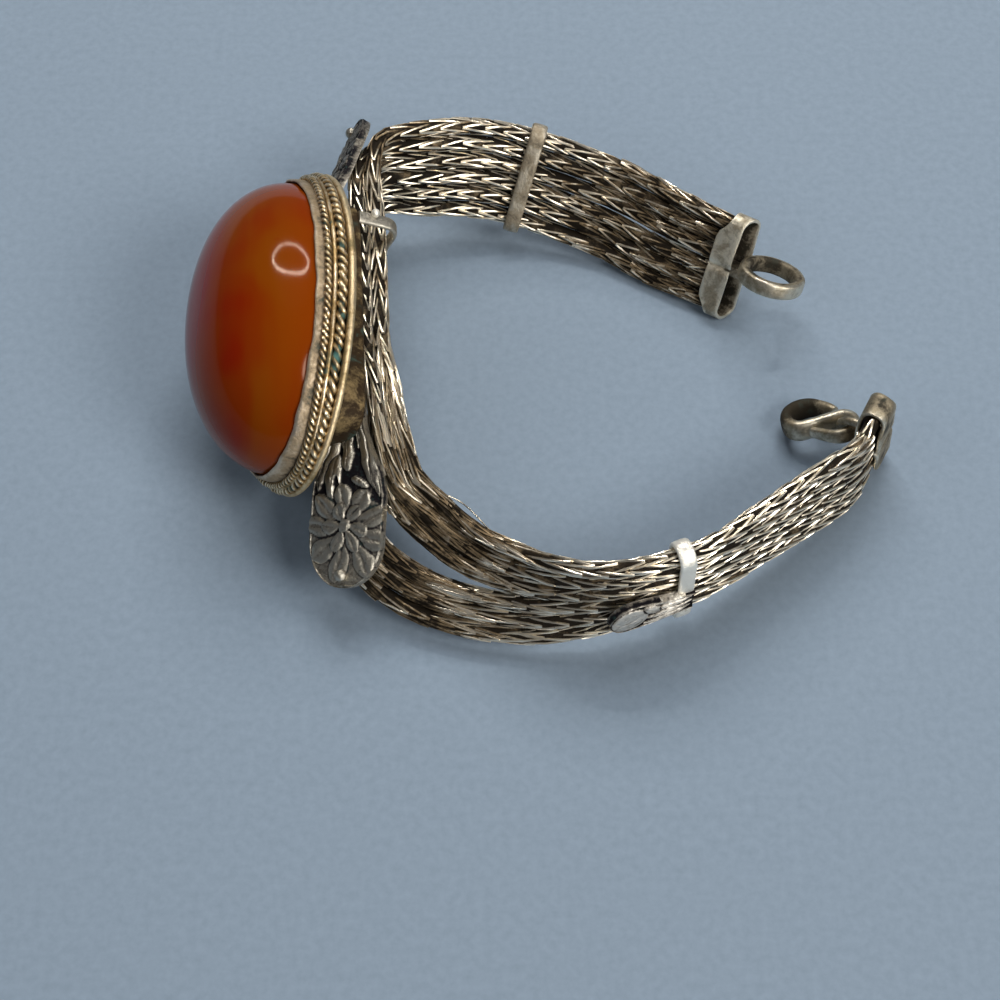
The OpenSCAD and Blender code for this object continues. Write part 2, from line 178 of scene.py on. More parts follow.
def smallBall(centre, radius, sides=20, rows=12):
    # sphere as a grid of latitude and longitude, left open a little at the poles, where the fans close it
    k, m = angles(sides), np.linspace(0.05, np.pi - 0.05, rows)[:, None]
    ball = np.stack([np.sin(m) * np.cos(k), np.sin(m) * np.sin(k), np.cos(m) * np.ones(sides)], -1)
    return centre + radius * ball


# materials


def feed(tree, value, socket):
    # an input takes a link from another socket, or a plain value
    if isinstance(value, bpy.types.NodeSocket):
        tree.links.new(value, socket)
    else:
        socket.default_value = value


def addNode(tree, kind, values, **settings):
    # a node with its inputs fed by name or number
    node = tree.nodes.new(kind)
    for key, value in settings.items():
        setattr(node, key, value)
    for key, value in values.items():
        feed(tree, value, node.inputs[key])
    return node


def mathNode(tree, operation, a, b, clamp=False):
    return addNode(tree, "ShaderNodeMath", {0: a, 1: b}, operation=operation, use_clamp=clamp).outputs[0]


def noiseNode(tree, place, scale, detail, roughness=0.5, distortion=0.0):
    values = {"Vector": place, "Scale": scale, "Detail": detail, "Roughness": roughness, "Distortion": distortion}
    return addNode(tree, "ShaderNodeTexNoise", values).outputs["Fac"]


def ranged(tree, value, low, high, top=1.0, soft=True):
    # 0 at low and top at high, held beyond them
    values = {"Value": value, "From Min": low, "From Max": high, "To Max": top}
    kind = "SMOOTHSTEP" if soft else "LINEAR"
    return addNode(tree, "ShaderNodeMapRange", values, interpolation_type=kind).outputs["Result"]


def blendColours(tree, share, a, b):
    return addNode(tree, "ShaderNodeMix", {"Factor": share, "A": a, "B": b}, data_type="RGBA").outputs["Result"]


def objectPlace(tree):
    return addNode(tree, "ShaderNodeTexCoord", {}).outputs["Object"]


def newMaterial(name):
    material = bpy.data.materials.new(name)
    material.use_nodes = True
    return material, material.node_tree, material.node_tree.nodes["Principled BSDF"]


tarnishInputs = {"Sunk": 0.0, "Dirt": 0.4, "Verdigris": 0.0, "Patch Size": 300.0, "Gloss": 0.24,
                 "Bright": (0.8, 0.76, 0.68, 1), "Worn": (0.45, 0.4, 0.33, 1), "Dark": (0.03, 0.02, 0.015, 1)}
tarnish = {
    # noises: scale, detail, roughness and distortion; the patches' scale comes from each material
    "patches": (5.0, 0.62, 0.4), "grain": (2600.0, 4.0, 0.6), "scratches": (700.0, 3.0, 0.7, 2.5),
    "patchDepth": 1.5, "grainDepth": 0.35,  # how far the two noises move the edge of the dirt
    # depths between which the worn colour, the dark one and the green crust set in
    "wornAt": (0.12, 0.5), "darkAt": (0.42, 0.85), "crustAt": (0.56, 0.7), "crust": (0.07, 0.17, 0.15, 1),
    "dirtDulls": 0.4, "scratchDulls": 0.22, "dirtCovers": 0.7, "specular": 0.2,
    "scratchHigh": 0.7, "grainHigh": 0.3, "dentDeep": 0.2,
}


def makeTarnishGroup():
    # worn silver: bright where it is rubbed, brown-black where the relief is deep or dirt has stayed in patches;
    # the depth it reads also carries painted shade on several pieces
    tree = bpy.data.node_groups.new("wornTarnish", "ShaderNodeTree")
    for name, value in tarnishInputs.items():
        kind = "NodeSocketColor" if isinstance(value, tuple) else "NodeSocketFloat"
        tree.interface.new_socket(name, in_out="INPUT", socket_type=kind).default_value = value
    for name in ("Color", "Roughness", "Metallic", "Height"):
        kind = "NodeSocketColor" if name == "Color" else "NodeSocketFloat"
        tree.interface.new_socket(name, in_out="OUTPUT", socket_type=kind)
    given = addNode(tree, "NodeGroupInput", {}).outputs
    place = objectPlace(tree)
    patches = noiseNode(tree, place, given["Patch Size"], *tarnish["patches"])
    grain = noiseNode(tree, place, *tarnish["grain"])
    scratch = noiseNode(tree, place, *tarnish["scratches"])
    rough = mathNode(tree, "MULTIPLY", mathNode(tree, "SUBTRACT", patches, 0.5), tarnish["patchDepth"])
    fine = mathNode(tree, "MULTIPLY", mathNode(tree, "SUBTRACT", grain, 0.5), tarnish["grainDepth"])
    deep = mathNode(tree, "ADD", mathNode(tree, "ADD", given["Sunk"], rough), fine)
    deep = mathNode(tree, "ADD", deep, mathNode(tree, "SUBTRACT", given["Dirt"], 0.5), clamp=True)
    darkShare = ranged(tree, deep, *tarnish["darkAt"])
    colour = blendColours(tree, ranged(tree, deep, *tarnish["wornAt"]), given["Bright"], given["Worn"])
    colour = blendColours(tree, darkShare, colour, given["Dark"])
    crust = mathNode(tree, "MULTIPLY", ranged(tree, patches, *tarnish["crustAt"]), given["Verdigris"])
    colour = blendColours(tree, mathNode(tree, "MULTIPLY", crust, deep), colour, tarnish["crust"])
    streaks = mathNode(tree, "MULTIPLY", mathNode(tree, "SUBTRACT", scratch, 0.5), tarnish["scratchDulls"])
    gloss = mathNode(tree, "ADD", mathNode(tree, "MULTIPLY", deep, tarnish["dirtDulls"]), given["Gloss"])
    gloss = mathNode(tree, "ADD", gloss, streaks, clamp=True)
    bare = mathNode(tree, "SUBTRACT", 1.0, mathNode(tree, "MULTIPLY", darkShare, tarnish["dirtCovers"]))
    height = mathNode(tree, "ADD", mathNode(tree, "MULTIPLY", scratch, tarnish["scratchHigh"]),
                      mathNode(tree, "MULTIPLY", grain, tarnish["grainHigh"]))
    addNode(tree, "NodeGroupOutput", {"Color": colour, "Roughness": gloss, "Metallic": bare, "Height": height})
    return tree


tarnishGroup = makeTarnishGroup()


def metalMaterial(name, look):
    # the worn group with its own colours, read by the depth attribute; its height becomes fine dents
    material, tree, shader = newMaterial(name)
    values = {key: look[key] for key in tarnishInputs if key in look}
    values["Sunk"] = addNode(tree, "ShaderNodeAttribute", {}, attribute_name="sunk").outputs["Fac"]
    worn = addNode(tree, "ShaderNodeGroup", values, node_tree=tarnishGroup).outputs
    feed(tree, worn["Color"], shader.inputs["Base Color"])
    feed(tree, worn["Roughness"], shader.inputs["Roughness"])
    feed(tree, mathNode(tree, "MULTIPLY", worn["Metallic"], look.get("metal", 1.0)), shader.inputs["Metallic"])
    shader.inputs["Specular IOR Level"].default_value = tarnish["specular"]
    dents = {"Strength": look["dents"], "Distance": tarnish["dentDeep"] * mm, "Height": worn["Height"]}
    feed(tree, addNode(tree, "ShaderNodeBump", dents).outputs["Normal"], shader.inputs["Normal"])
    return material


# Dirt is how far the worn and the dark colour spread over the bright one, Patch Size how fine their patches are,
# dents how deep the surface is pitted, and metal how metallic it is where it is clean
looks = {
    "wovenWire": {"Dirt": 0.36, "Verdigris": 0.0, "Patch Size": 260.0, "Gloss": 0.32, "dents": 0.08,
                  "Bright": (1.0, 0.9, 0.73, 1), "Worn": (0.27, 0.2, 0.12, 1), "Dark": (0.009, 0.006, 0.003, 1)},
    # its heavy dirt is partly painted shade: the near cap and the hook lie in shade
    "wornAndShadedSheet": {"Dirt": 0.66, "Verdigris": 0.1, "Patch Size": 330.0, "Gloss": 0.34, "dents": 0.3,
                  "Bright": (0.76, 0.7, 0.57, 1), "Worn": (0.36, 0.31, 0.22, 1), "Dark": (0.03, 0.024, 0.016, 1)},
    "rubbedStrap": {"Dirt": 0.42, "Verdigris": 0.0, "Patch Size": 480.0, "Gloss": 0.42, "dents": 1.0, "metal": 0.8,
                    "Bright": (1.0, 0.97, 0.88, 1), "Worn": (0.5, 0.45, 0.35, 1), "Dark": (0.03, 0.022, 0.015, 1)},
    "chasedRelief": {"Dirt": 0.5, "Verdigris": 0.15, "Patch Size": 1300.0, "Gloss": 0.38, "dents": 1.0,
                     "Bright": (0.5, 0.47, 0.4, 1), "Worn": (0.22, 0.2, 0.17, 1), "Dark": (0.006, 0.005, 0.007, 1)},
    "wornGilt": {"Dirt": 0.55, "Verdigris": 0.8, "Patch Size": 300.0, "Gloss": 0.28, "dents": 0.5,
                 "Bright": (0.95, 0.8, 0.56, 1), "Worn": (0.42, 0.28, 0.12, 1), "Dark": (0.02, 0.013, 0.006, 1)},
    # painted shade: the box behind the setting gets no light from its side, so its gilt is darkened all over
    "shadedGilt": {"Dirt": 0.95, "Verdigris": 0.5, "Patch Size": 260.0, "Gloss": 0.36, "dents": 0.5,
                   "Bright": (0.9, 0.76, 0.52, 1), "Worn": (0.4, 0.29, 0.14, 1), "Dark": (0.03, 0.018, 0.008, 1)},
    "dulledStrap": {"Dirt": 0.74, "Verdigris": 0.0, "Patch Size": 420.0, "Gloss": 0.46, "dents": 0.9,
                    "Bright": (0.66, 0.6, 0.49, 1), "Worn": (0.4, 0.34, 0.25, 1), "Dark": (0.03, 0.022, 0.015, 1)},
    "rubbedCollar": {"Dirt": 0.74, "Verdigris": 0.3, "Patch Size": 380.0, "Gloss": 0.44, "dents": 0.7,
                     "Bright": (0.66, 0.55, 0.42, 1), "Worn": (0.42, 0.33, 0.22, 1),
                     "Dark": (0.03, 0.02, 0.012, 1)},
    "mottledCap": {"Dirt": 0.4, "Verdigris": 0.1, "Patch Size": 480.0, "Gloss": 0.44, "dents": 0.6,
                   "Bright": (0.88, 0.82, 0.68, 1), "Worn": (0.42, 0.37, 0.28, 1), "Dark": (0.03, 0.024, 0.016, 1)},
    "rubbedFlange": {"Dirt": 0.66, "Verdigris": 0.4, "Patch Size": 300.0, "Gloss": 0.42, "dents": 0.6,
                     "Bright": (0.8, 0.64, 0.4, 1), "Worn": (0.4, 0.28, 0.13, 1), "Dark": (0.03, 0.018, 0.008, 1)},
    "chasedPlate": {"Dirt": 0.6, "Verdigris": 0.2, "Patch Size": 900.0, "Gloss": 0.44, "dents": 1.0,
                    "Bright": (0.74, 0.7, 0.63, 1), "Worn": (0.3, 0.27, 0.23, 1), "Dark": (0.006, 0.005, 0.007, 1)},
}
metals = {name: metalMaterial(name, look) for name, look in looks.items()}

stoneLook = {
    "deep": (0.125, 0.006, 0.0001, 1), "middle": (0.125, 0.015, 0.0002, 1), "pale": (0.13, 0.027, 0.0004, 1),
    "toneAt": {"deep": 0.36, "middle": 0.5, "pale": 0.66}, "rim": (0.15, 0.021, 0.0005, 1),
    # noises: scale, detail, roughness and distortion
    "clouds": (46.0, 2.0, 0.5, 0.5), "veins": (170.0, 2.0, 0.5, 0.3), "flecks": (520.0, 3.0, 0.6),
    "veinStretch": (1.0, 0.22, 0.5), "veinShare": 0.5, "rimShare": 0.2,
    "heart": (-38.1, -6.4, 29.2), "heartSize": (6, 14, 9),  # a redder oval inside
    # from where to where the redder oval, the paler rim and the dark flecks set in, and how far they go; the paler
    # rim is a painted reflection, the grazing shine at the stone's edge
    "heartFade": (1.0, 0.3, 0.1), "rimFade": (0.8, 1.0, 0.6), "fleckFade": (0.7, 0.8, 0.4),
    "polish": 0.1, "bend": 1.2, "shine": 0.8, "shineTint": (1.0, 0.8, 0.66, 1),
}


def stoneMaterial(look):
    # orange stone: large clouds of three tones with faint upright bands under a polished skin, and dark flecks
    material, tree, shader = newMaterial("orangeStone")
    place = objectPlace(tree)
    rim = addNode(tree, "ShaderNodeAttribute", {}, attribute_name="sunk").outputs["Fac"]
    stretched = addNode(tree, "ShaderNodeMapping", {"Vector": place, "Scale": look["veinStretch"]})
    veins = noiseNode(tree, stretched.outputs["Vector"], *look["veins"])
    mixed = noiseNode(tree, place, *look["clouds"])
    mixed = mathNode(tree, "ADD", mixed, mathNode(tree, "MULTIPLY", veins, look["veinShare"]))
    # the tones grow paler towards the girdle, part of the painted reflection at the edge
    mixed = mathNode(tree, "ADD", mixed, mathNode(tree, "MULTIPLY", rim, look["rimShare"]))
    # what the two add on average comes off again
    mixed = mathNode(tree, "SUBTRACT", mixed, 0.5 * look["veinShare"] + 0.45 * look["rimShare"])
    heartAt, heartSize = ([v * mm for v in look[key]] for key in ("heart", "heartSize"))
    heart = {"Vector": place, "Location": heartAt, "Scale": heartSize}
    heart = addNode(tree, "ShaderNodeMapping", heart, vector_type="TEXTURE").outputs["Vector"]
    away = addNode(tree, "ShaderNodeVectorMath", {0: heart}, operation="LENGTH").outputs["Value"]
    mixed = mathNode(tree, "SUBTRACT", mixed, ranged(tree, away, *look["heartFade"]))
    ramp = addNode(tree, "ShaderNodeValToRGB", {"Fac": mixed})
    ramp.color_ramp.interpolation = "EASE"
    ramp.color_ramp.elements.new(0.5)
    for stop, (tone, at) in zip(ramp.color_ramp.elements, look["toneAt"].items()):
        stop.position, stop.color = at, look[tone]
    # painted reflection: towards the girdle the stone takes the paler rim colour, for the grazing shine at its edge
    atRim = ranged(tree, rim, *look["rimFade"], soft=False)
    inFleck = ranged(tree, noiseNode(tree, place, *look["flecks"]), *look["fleckFade"], soft=False)
    colour = blendColours(tree, atRim, ramp.outputs["Color"], look["rim"])
    feed(tree, blendColours(tree, inFleck, colour, look["deep"]), shader.inputs["Base Color"])
    for name, key in (("Roughness", "polish"), ("IOR", "bend"), ("Specular IOR Level", "shine"),
                      ("Specular Tint", "shineTint")):
        shader.inputs[name].default_value = look[key]
    return material


orangeStone = stoneMaterial(stoneLook)
print("materials made")


# the band and the setting's axes

setting = {
    "at": (-31.1, 1.9, 15.65), "faceUp": 26, "faceTurn": 3.5,
    "stoneLong": 42, "stoneWide": 29.8, "dome": 12.2, "height": 4.9,
    "wall": 0.6, "flange": 1.5, "boxDepth": 4.5, "stoneRoom": 0.1,
}
up, turn = math.radians(setting["faceUp"]), math.radians(setting["faceTurn"])
acrossStone = np.array([math.sin(up) * math.cos(turn), math.sin(up) * math.sin(turn), math.cos(up)])
alongStone = np.array([-math.sin(turn), math.cos(turn), 0.0])
outOfStone = np.cross(acrossStone, alongStone)
settingAt = np.array(setting["at"])


def onSetting(p):
    # the setting's own across, along and out numbers as a place in the frame
    p = np.asarray(p, float)
    return settingAt + p[..., :1] * acrossStone + p[..., 1:2] * alongStone + p[..., 2:] * outOfStone


# columns: x, y, height of the middle, lean of the top edge outward, gap in mid-band, bunching of each half
band = {
    "pitch": 2.45, "thick": 2.3, "backGap": 1.2, "straightAt": (17, 10, 3, -3), "steps": 620,
    "farRows": [
        (23.7, 20.4, 7.15, 30, 0.0, 0), (17.4, 24.2, 6.8, 34, 0.3, 0), (9.4, 29.1, 7.4, 36, 0.1, 0),
        (-2.2, 32.7, 9.4, 34, 0.0, 0), (-9.8, 33.3, 11.0, 33, 0.0, 0), (-17.1, 32.3, 12.0, 25, 0.0, 0),
        (-22.6, 31.1, 12.8, 10, 0.2, 20), (-25.3, 26.7, 13.4, -12, 0.6, 60)],
    "nearRows": [
        (-23.4, -8.1, 13.1, -30, 1.6, 80), (-22.7, -16.1, 12.0, -43, 1.5, 45), (-21.1, -22.4, 10.2, -50, 2.4, 20),
        (-16.8, -26.8, 8.6, -50, 2.4, 0), (-11.0, -30.2, 7.8, -44, 1.0, 0), (-4.0, -32.7, 8.2, -32, 0.2, 0),
        (2.0, -34.1, 9.4, -18, 0.0, 0), (8.8, -34.2, 10.6, -6, 0.0, 0), (18.8, -31.2, 11.0, -1, 0.0, 0),
        (26.8, -25.7, 10.2, -3, 0.0, 0), (35.0, -19.5, 8.9, -5, 0.3, 0), (39.3, -16.1, 7.9, -4, 0.3, 0),
        (41.4, -13.6, 7.4, -4, 0.1, 0), (42.4, -11.8, 7.7, -3, 0.0, 0)],
    "intoCap": 2.6, "capFrom": 0.4,
}
chainsBack = setting["boxDepth"] + 0.2 + (band["thick"] + band["pitch"]) / 2
backRows = [(*onSetting((0, y, -chainsBack)), -setting["faceUp"], band["backGap"], 90) for y in band["straightAt"]]
bandRows = np.array(band["farRows"] + backRows + band["nearRows"], float)
lastRow = len(bandRows) - 1


def bandSection(u):
    # a smooth curve through four neighbouring rows, read between the second and the third
    u = np.asarray(u, float)
    rows = np.vstack([2 * bandRows[0] - bandRows[1], bandRows, 2 * bandRows[-1] - bandRows[-2]])
    i = np.clip(np.floor(u).astype(int), 0, lastRow - 1)
    f = (u - i)[..., None]
    a, b, c, d = rows[i], rows[i + 1], rows[i + 2], rows[i + 3]
    return 0.5 * (2 * b + (c - a) * f + (2 * a - 5 * b + 4 * c - d) * f ** 2 + (3 * b - a - 3 * c + d) * f ** 3)


def bandAxes(u):
    # the middle, the heading, the leaning width line square to it, and the way out of the loop
    u = np.asarray(u, float)
    row = bandSection(u)
    ahead, behind = bandSection(np.minimum(u + 0.02, lastRow)), bandSection(np.maximum(u - 0.02, 0))
    heading = unit(ahead[..., :3] - behind[..., :3])
    lean = np.radians(row[..., 3:4])
    level = unit(np.stack([heading[..., 1], -heading[..., 0], 0 * heading[..., 0]], -1))
    width = np.sin(lean) * level + np.cos(lean) * np.array([0, 0, 1.0])
    width = unit(width - (width * heading).sum(-1, keepdims=True) * heading)
    return row, heading, width, np.cross(heading, width)


def chainOffset(i, gap, bunch):
    # where strand i lies across the band and out of it; 0 to 2 are the lower bundle, and as a bundle bunches,
    # its two outer strands turn about the middle between them until they lie one above the other
    p, b = band["pitch"], np.radians(np.clip(bunch, 0, 90))
    share = np.clip(bunch, 0, 90) / 90
    side, k = (-1, 2 - i) if i < 3 else (1, i - 3)
    pair, mid = (0.5 - 0.21 * share) * p, 1.5 * p + gap / 2
    if k == 0:
        return side * (mid - p + 0.42 * p * share ** 2), 0 * share
    if k == 1:
        return side * (mid + pair - p / 2 * np.cos(b)), p / 2 * np.sin(b)
    return side * (mid + pair + p / 2 * np.cos(b)), -p / 2 * np.sin(b)


def chainLine(i):
    # the middle of strand i with its two cross axes and the length run so far, straight on into the caps
    u = np.linspace(0, lastRow, band["steps"])
    row, heading, width, out = bandAxes(u)
    a, o = chainOffset(i, row[:, 4], row[:, 5])
    middle = row[:, :3] + a[:, None] * width + o[:, None] * out
    first, final = middle[:1] - band["intoCap"] * heading[:1], middle[-1:] + band["intoCap"] * heading[-1:]
    middle = np.vstack([first, middle, final])
    width, out = (np.vstack([v[:1], v, v[-1:]]) for v in (width, out))
    run = np.concatenate([[0], np.cumsum(np.linalg.norm(np.diff(middle, axis=0), axis=1))])
    return run, middle, width, out


def readLine(line, s):
    # place and cross axes of a strand at the lengths s
    run, *tables = line
    middle, width, out = (np.stack([np.interp(s, run, table[:, k]) for k in range(3)], -1) for table in tables)
    return middle, unit(width), unit(out)


# woven chains

weave = {
    "vPitch": 3.05,  # from one V to the next in a column
    "stagger": 0.17,  # how much further on each strand's first V starts, in pitches
    "legSpread": 51,  # degrees round the strand from the tip to a leg's end
    "along": (-1, -0.8, -0.5, -0.2, -0.06, 0.06, 0.2, 0.5, 0.8, 1),  # shares along both legs, 0 at the tip
    "wire": 0.17, "wireSides": 6, "columns": 4, "out": 0.07, "firstTip": 2.8, "tipRound": 0.006,
    "tuck": 0.3,  # how far a leg's end sinks under its neighbours
    "core": 0.97, "coreBeside": 1.2, "coreSides": 10, "coreRows": 170,  # wider towards the neighbouring strands
    # random spread of each V's place, turn, length, spread, lift and bow, times the untidiness
    "scatter": {"tip": 0.14, "turn": 4.5, "leg": 0.07, "spread": 0.1, "lift": 0.025, "bow": 0.16},
    # tables over shares of the strand's length from the far cap: length of a leg, untidiness, and darkening
    # that is partly dirt and partly painted shade where the band turns away from the lights
    "legAt": (0, 0.5, 0.56, 0.68, 0.76, 1), "legLong": (5.4, 4.6, 8.6, 8.2, 5, 4.6),
    "untidyAt": (0, 0.1, 0.2, 0.5, 0.56, 0.7, 0.76, 1), "untidy": (2.4, 2.2, 1.1, 1.3, 2.2, 2.2, 1.3, 1.2),
    "shadeAndDirtAt": (0, 0.1, 0.15, 0.19, 0.28, 0.34, 0.5, 0.57, 0.61, 0.66, 0.7, 0.735, 0.8, 0.86, 1),
    "shadeAndDirt": (1.4, 1.5, 1.0, 0.45, 0.25, 0.45, 0.35, 0.6, 1.8, 1.8, 0.8, 0.1, -0.1, -0.2, 0.0),
    "cleanAt": 0.4, "shadeAndDirtShare": 0.5, "dirtScatter": 0.16, "darkDepth": 0.36,
    # painted shade on the upper strands where the band turns at the setting's far end, and the share of it that
    # each strand gets
    "cornerShadeAt": (0.24, 0.28, 0.33, 0.37), "cornerShade": (0, 0.9, 1.1, 0), "cornerShadeShare": (0, 0, 0.1, 0.3, 0.45, 0.5),
    # shares between which further wires cross the others, and how many; they spread less and lie higher
    "crossing": ((0.015, 0.13, 30), (0.51, 0.7, 60)), "crossSpread": 0.7, "crossLift": 0.04, "crossDirt": 0.25,
    "sprung": {"strand": 5, "from": 0.612, "to": 0.663, "lift": 1.9, "wire": 0.1},  # one wire stands off the band
}


def placedLinks(i, full):
    # each V's tip along the strand and its turn round it, in columns half a pitch apart, then the crossing wires
    count = int(full / weave["vPitch"]) + 2
    column = np.arange(weave["columns"])[:, None]
    tips = ((np.arange(count) + 0.5 * (column % 2) + weave["stagger"] * i) * weave["vPitch"] - 1.0).ravel()
    turns = np.repeat(column * 360 / weave["columns"], count, 1).ravel()
    keep = (tips > weave["firstTip"]) & (tips < full - 0.1)
    crossing = np.concatenate([seeded.uniform(a, b, number) for a, b, number in weave["crossing"]]) * full
    tips = np.concatenate([tips[keep], crossing])
    turns = np.concatenate([turns[keep], seeded.uniform(0, 360, len(crossing))])
    return tips, turns, np.arange(len(tips)) >= len(tips) - len(crossing)


def wovenChain(i):
    # every V is a bent wire: from its rounded tip two legs run back along the strand, spreading evenly round it
    # and sinking; four columns of them, each half a pitch ahead of the next, stand round a core painted dark as the
    # shade between them, and each wire is painted darker, as shade, the deeper it lies
    line = chainLine(i)
    full = line[0][-1]
    radius = band["thick"] / 2
    tips, turns, over = placedLinks(i, full)
    n = len(tips)
    mess = np.interp(tips / full, weave["untidyAt"], weave["untidy"])
    scatter = {name: seeded.normal(0, size, n) * mess for name, size in weave["scatter"].items()}
    tips = tips + scatter["tip"]
    legs = np.interp(tips / full, weave["legAt"], weave["legLong"]) * (1 + scatter["leg"])
    turns = np.radians(turns + scatter["turn"])
    spread = np.radians(weave["legSpread"] * np.where(over, weave["crossSpread"], 1) * (1 + scatter["spread"]))
    lift = scatter["lift"] + weave["crossLift"] * over
    t, soft = np.array(weave["along"]), weave["tipRound"]
    back = (np.sqrt(t ** 2 + soft) - math.sqrt(soft)) / (math.sqrt(1 + soft) - math.sqrt(soft))
    s = np.clip(tips[:, None] - legs[:, None] * back, 0.05, full - 0.05)
    angle = turns[:, None] + spread[:, None] * t + scatter["bow"][:, None] * (1 - t ** 2) * 0.5
    top = radius + weave["out"] - weave["wire"]
    r = top + lift[:, None] * (1 - t ** 2) - weave["tuck"] * np.abs(t) ** 3
    middle, width, out = readLine(line, s)
    radial = np.cos(angle)[..., None] * width + np.sin(angle)[..., None] * out
    path = middle + r[..., None] * radial
    way = unit(np.gradient(path, axis=1))
    side = unit(np.cross(way, radial))
    high = np.cross(side, way)
    k = angles(weave["wireSides"])[:, None, None, None]
    grid = np.moveaxis(path + weave["wire"] * (np.cos(k) * side + np.sin(k) * high), 0, 2)  # V, along, round, xyz
    # the darkening along the strand is partly dirt and partly painted shade where the band turns away from the
    # lights
    shadeAndSoil = weave["shadeAndDirtShare"] * (np.interp(tips / full, weave["shadeAndDirtAt"], weave["shadeAndDirt"]) - weave["cleanAt"])
    shadeAndSoil = shadeAndSoil + weave["dirtScatter"] * seeded.normal(0, 1, n) + weave["crossDirt"] * over
    # painted shade on the upper strands at the band's far turn
    shadeAndSoil = shadeAndSoil + np.interp(tips / full, weave["cornerShadeAt"], weave["cornerShade"]) * weave["cornerShadeShare"][i]
    # painted shade: each wire is darker the deeper it lies below the strand's surface
    depth = radius - np.linalg.norm(grid - middle[:, :, None], axis=-1)
    deepness = depth / weave["darkDepth"] + shadeAndSoil[:, None, None]
    rows, columns = grid.shape[1:3]
    index, quads = gridFaces(rows, columns)
    tail, nose, corner = index[0], index[-1], [0] * (columns - 2)
    fans = np.vstack([np.stack([tail[corner], tail[1:-1], tail[2:]], 1),
                      np.stack([nose[corner], nose[2:], nose[1:-1]], 1)])
    start = (np.arange(n) * rows * columns)[:, None, None]
    links = (grid.reshape(-1, 3), (quads + start).reshape(-1, 4), (fans + start).reshape(-1, 3), deepness.ravel())
    # the core is painted fully dark, as the shade seen between the wires
    middle, width, out = readLine(line, np.linspace(0, full, weave["coreRows"]))
    k = angles(weave["coreSides"])
    upper, lower = (weave["coreBeside" if beside else "core"] for beside in (i < 5, i > 0))
    core = np.stack([np.where(np.cos(k) > 0, upper, lower) * np.cos(k), weave["core"] * np.sin(k)], 1)
    return joined([links, gridSurface(carried(middle, width, out, core), sunk=1.0)])


def sprungWire(loose):
    # half a sine wave that lifts off the inner side of one strand
    line = chainLine(loose["strand"])
    t = np.linspace(0, 1, 40)
    middle, width, out = readLine(line, line[0][-1] * (loose["from"] + (loose["to"] - loose["from"]) * t))
    away = unit(0.35 * width - out)
    path = middle + (band["thick"] / 2 - loose["wire"] + loose["lift"] * np.sin(np.pi * t ** 0.8))[:, None] * away
    way = unit(np.gradient(path, axis=0))
    side = unit(np.cross(way, away))
    return gridSurface(carried(path, side, np.cross(side, way), roundWire(loose["wire"], 8)), sunk=0.1)


for i in range(6):
    addPiece(f"wovenChain{i + 1}", wovenChain(i), metals["wovenWire"], f"chain_{i + 1}")
addPiece("sprungWire", sprungWire(weave["sprung"]), metals["wovenWire"], "chain_6")
print("chains woven")


# stone

stone = {"foot": 1.2, "underCollar": 1.3, "roundness": 0.86, "rows": 44, "sides": 128}


def ovalStone():
    # an upright girdle, then a dome whose outline shrinks with a power of the cosine of its height angle
    girdle = setting["height"] - stone["underCollar"]
    a = angles(stone["sides"])
    f = np.radians(90 * np.linspace(0, 1, stone["rows"]) ** 0.9 * 0.995)
    shrink = np.concatenate([[1, 1], np.cos(f[1:]) ** stone["roundness"]])[:, None]
    high = np.concatenate([[stone["foot"], girdle], girdle + setting["dome"] * np.sin(f[1:])])[:, None]
    x = setting["stoneWide"] / 2 * shrink * np.cos(a)
    y = setting["stoneLong"] / 2 * shrink * np.sin(a)
    # the attribute grows towards the girdle, where the material paints the stone's edge reflection
    return gridSurface(onSetting(np.stack([x, y, np.broadcast_to(high, x.shape)], -1)), sunk=shrink ** 2)


addPiece("cabochon", ovalStone(), orangeStone, "stone")
print("stone cut")


# setting

rings = {
    "coarse": {"teeth": 100, "out": 1.42, "height": 1.75, "wire": 0.66, "drop": 0.35},
    "fine": {"teeth": 134, "out": 0.98, "height": 3.5, "wire": 0.5, "drop": 1.1},
    "plain": {"out": 1.12, "height": 2.65, "wire": 0.34, "drop": 0.75},
    "swell": 0.4,  # share of the wire's radius that the twist takes in and out
    # slow waves in the twist and in the wire's thickness, as size, count and start
    "uneven": ((0.35, 13, 0), (0.25, 29, 1)), "worn": ((0.05, 41, 2), (0.04, 23, 0)),
}


def ovalRing(profile, around):
    # a closed profile carried round the stone's oval; its first number goes outward and its second out of the face
    a = angles(around)[:, None]
    profile = np.broadcast_to(profile, (around,) + profile.shape[-2:])
    x = (setting["stoneWide"] / 2 + setting["stoneRoom"] + profile[..., 0]) * np.cos(a)
    y = (setting["stoneLong"] / 2 + setting["stoneRoom"] + profile[..., 0]) * np.sin(a)
    return onSetting(np.stack([x, y, profile[..., 1]], -1))


def ringHeight(ring, a):
    # a ring sits lower at the two ends of the oval
    return (ring["height"] - ring["drop"] * np.sin(a) ** 4)[:, None]


def ropeRing(ring, sides=12, perTooth=5):
    # twisted pair of wires: the radius swells with the squared cosine of the angle from a line that turns along
    # the way, a little unevenly
    a, k = angles(ring["teeth"] * perTooth), angles(sides)
    uneven = waves(a, ((0.5, 5, ring["teeth"]),) + rings["uneven"])
    twist = np.cos(k - (ring["teeth"] / 2 * a + uneven)[:, None]) ** 2
    r = ring["wire"] * (1 - rings["swell"] + rings["swell"] * twist) * (1 + waves(a, rings["worn"]))[:, None]
    profile = np.stack([ring["out"] + r * np.cos(k), ringHeight(ring, a) + r * np.sin(k)], -1)
    return gridSurface(ovalRing(profile, len(a)), sunk=0.85 * (1 - twist), closedRows=True)


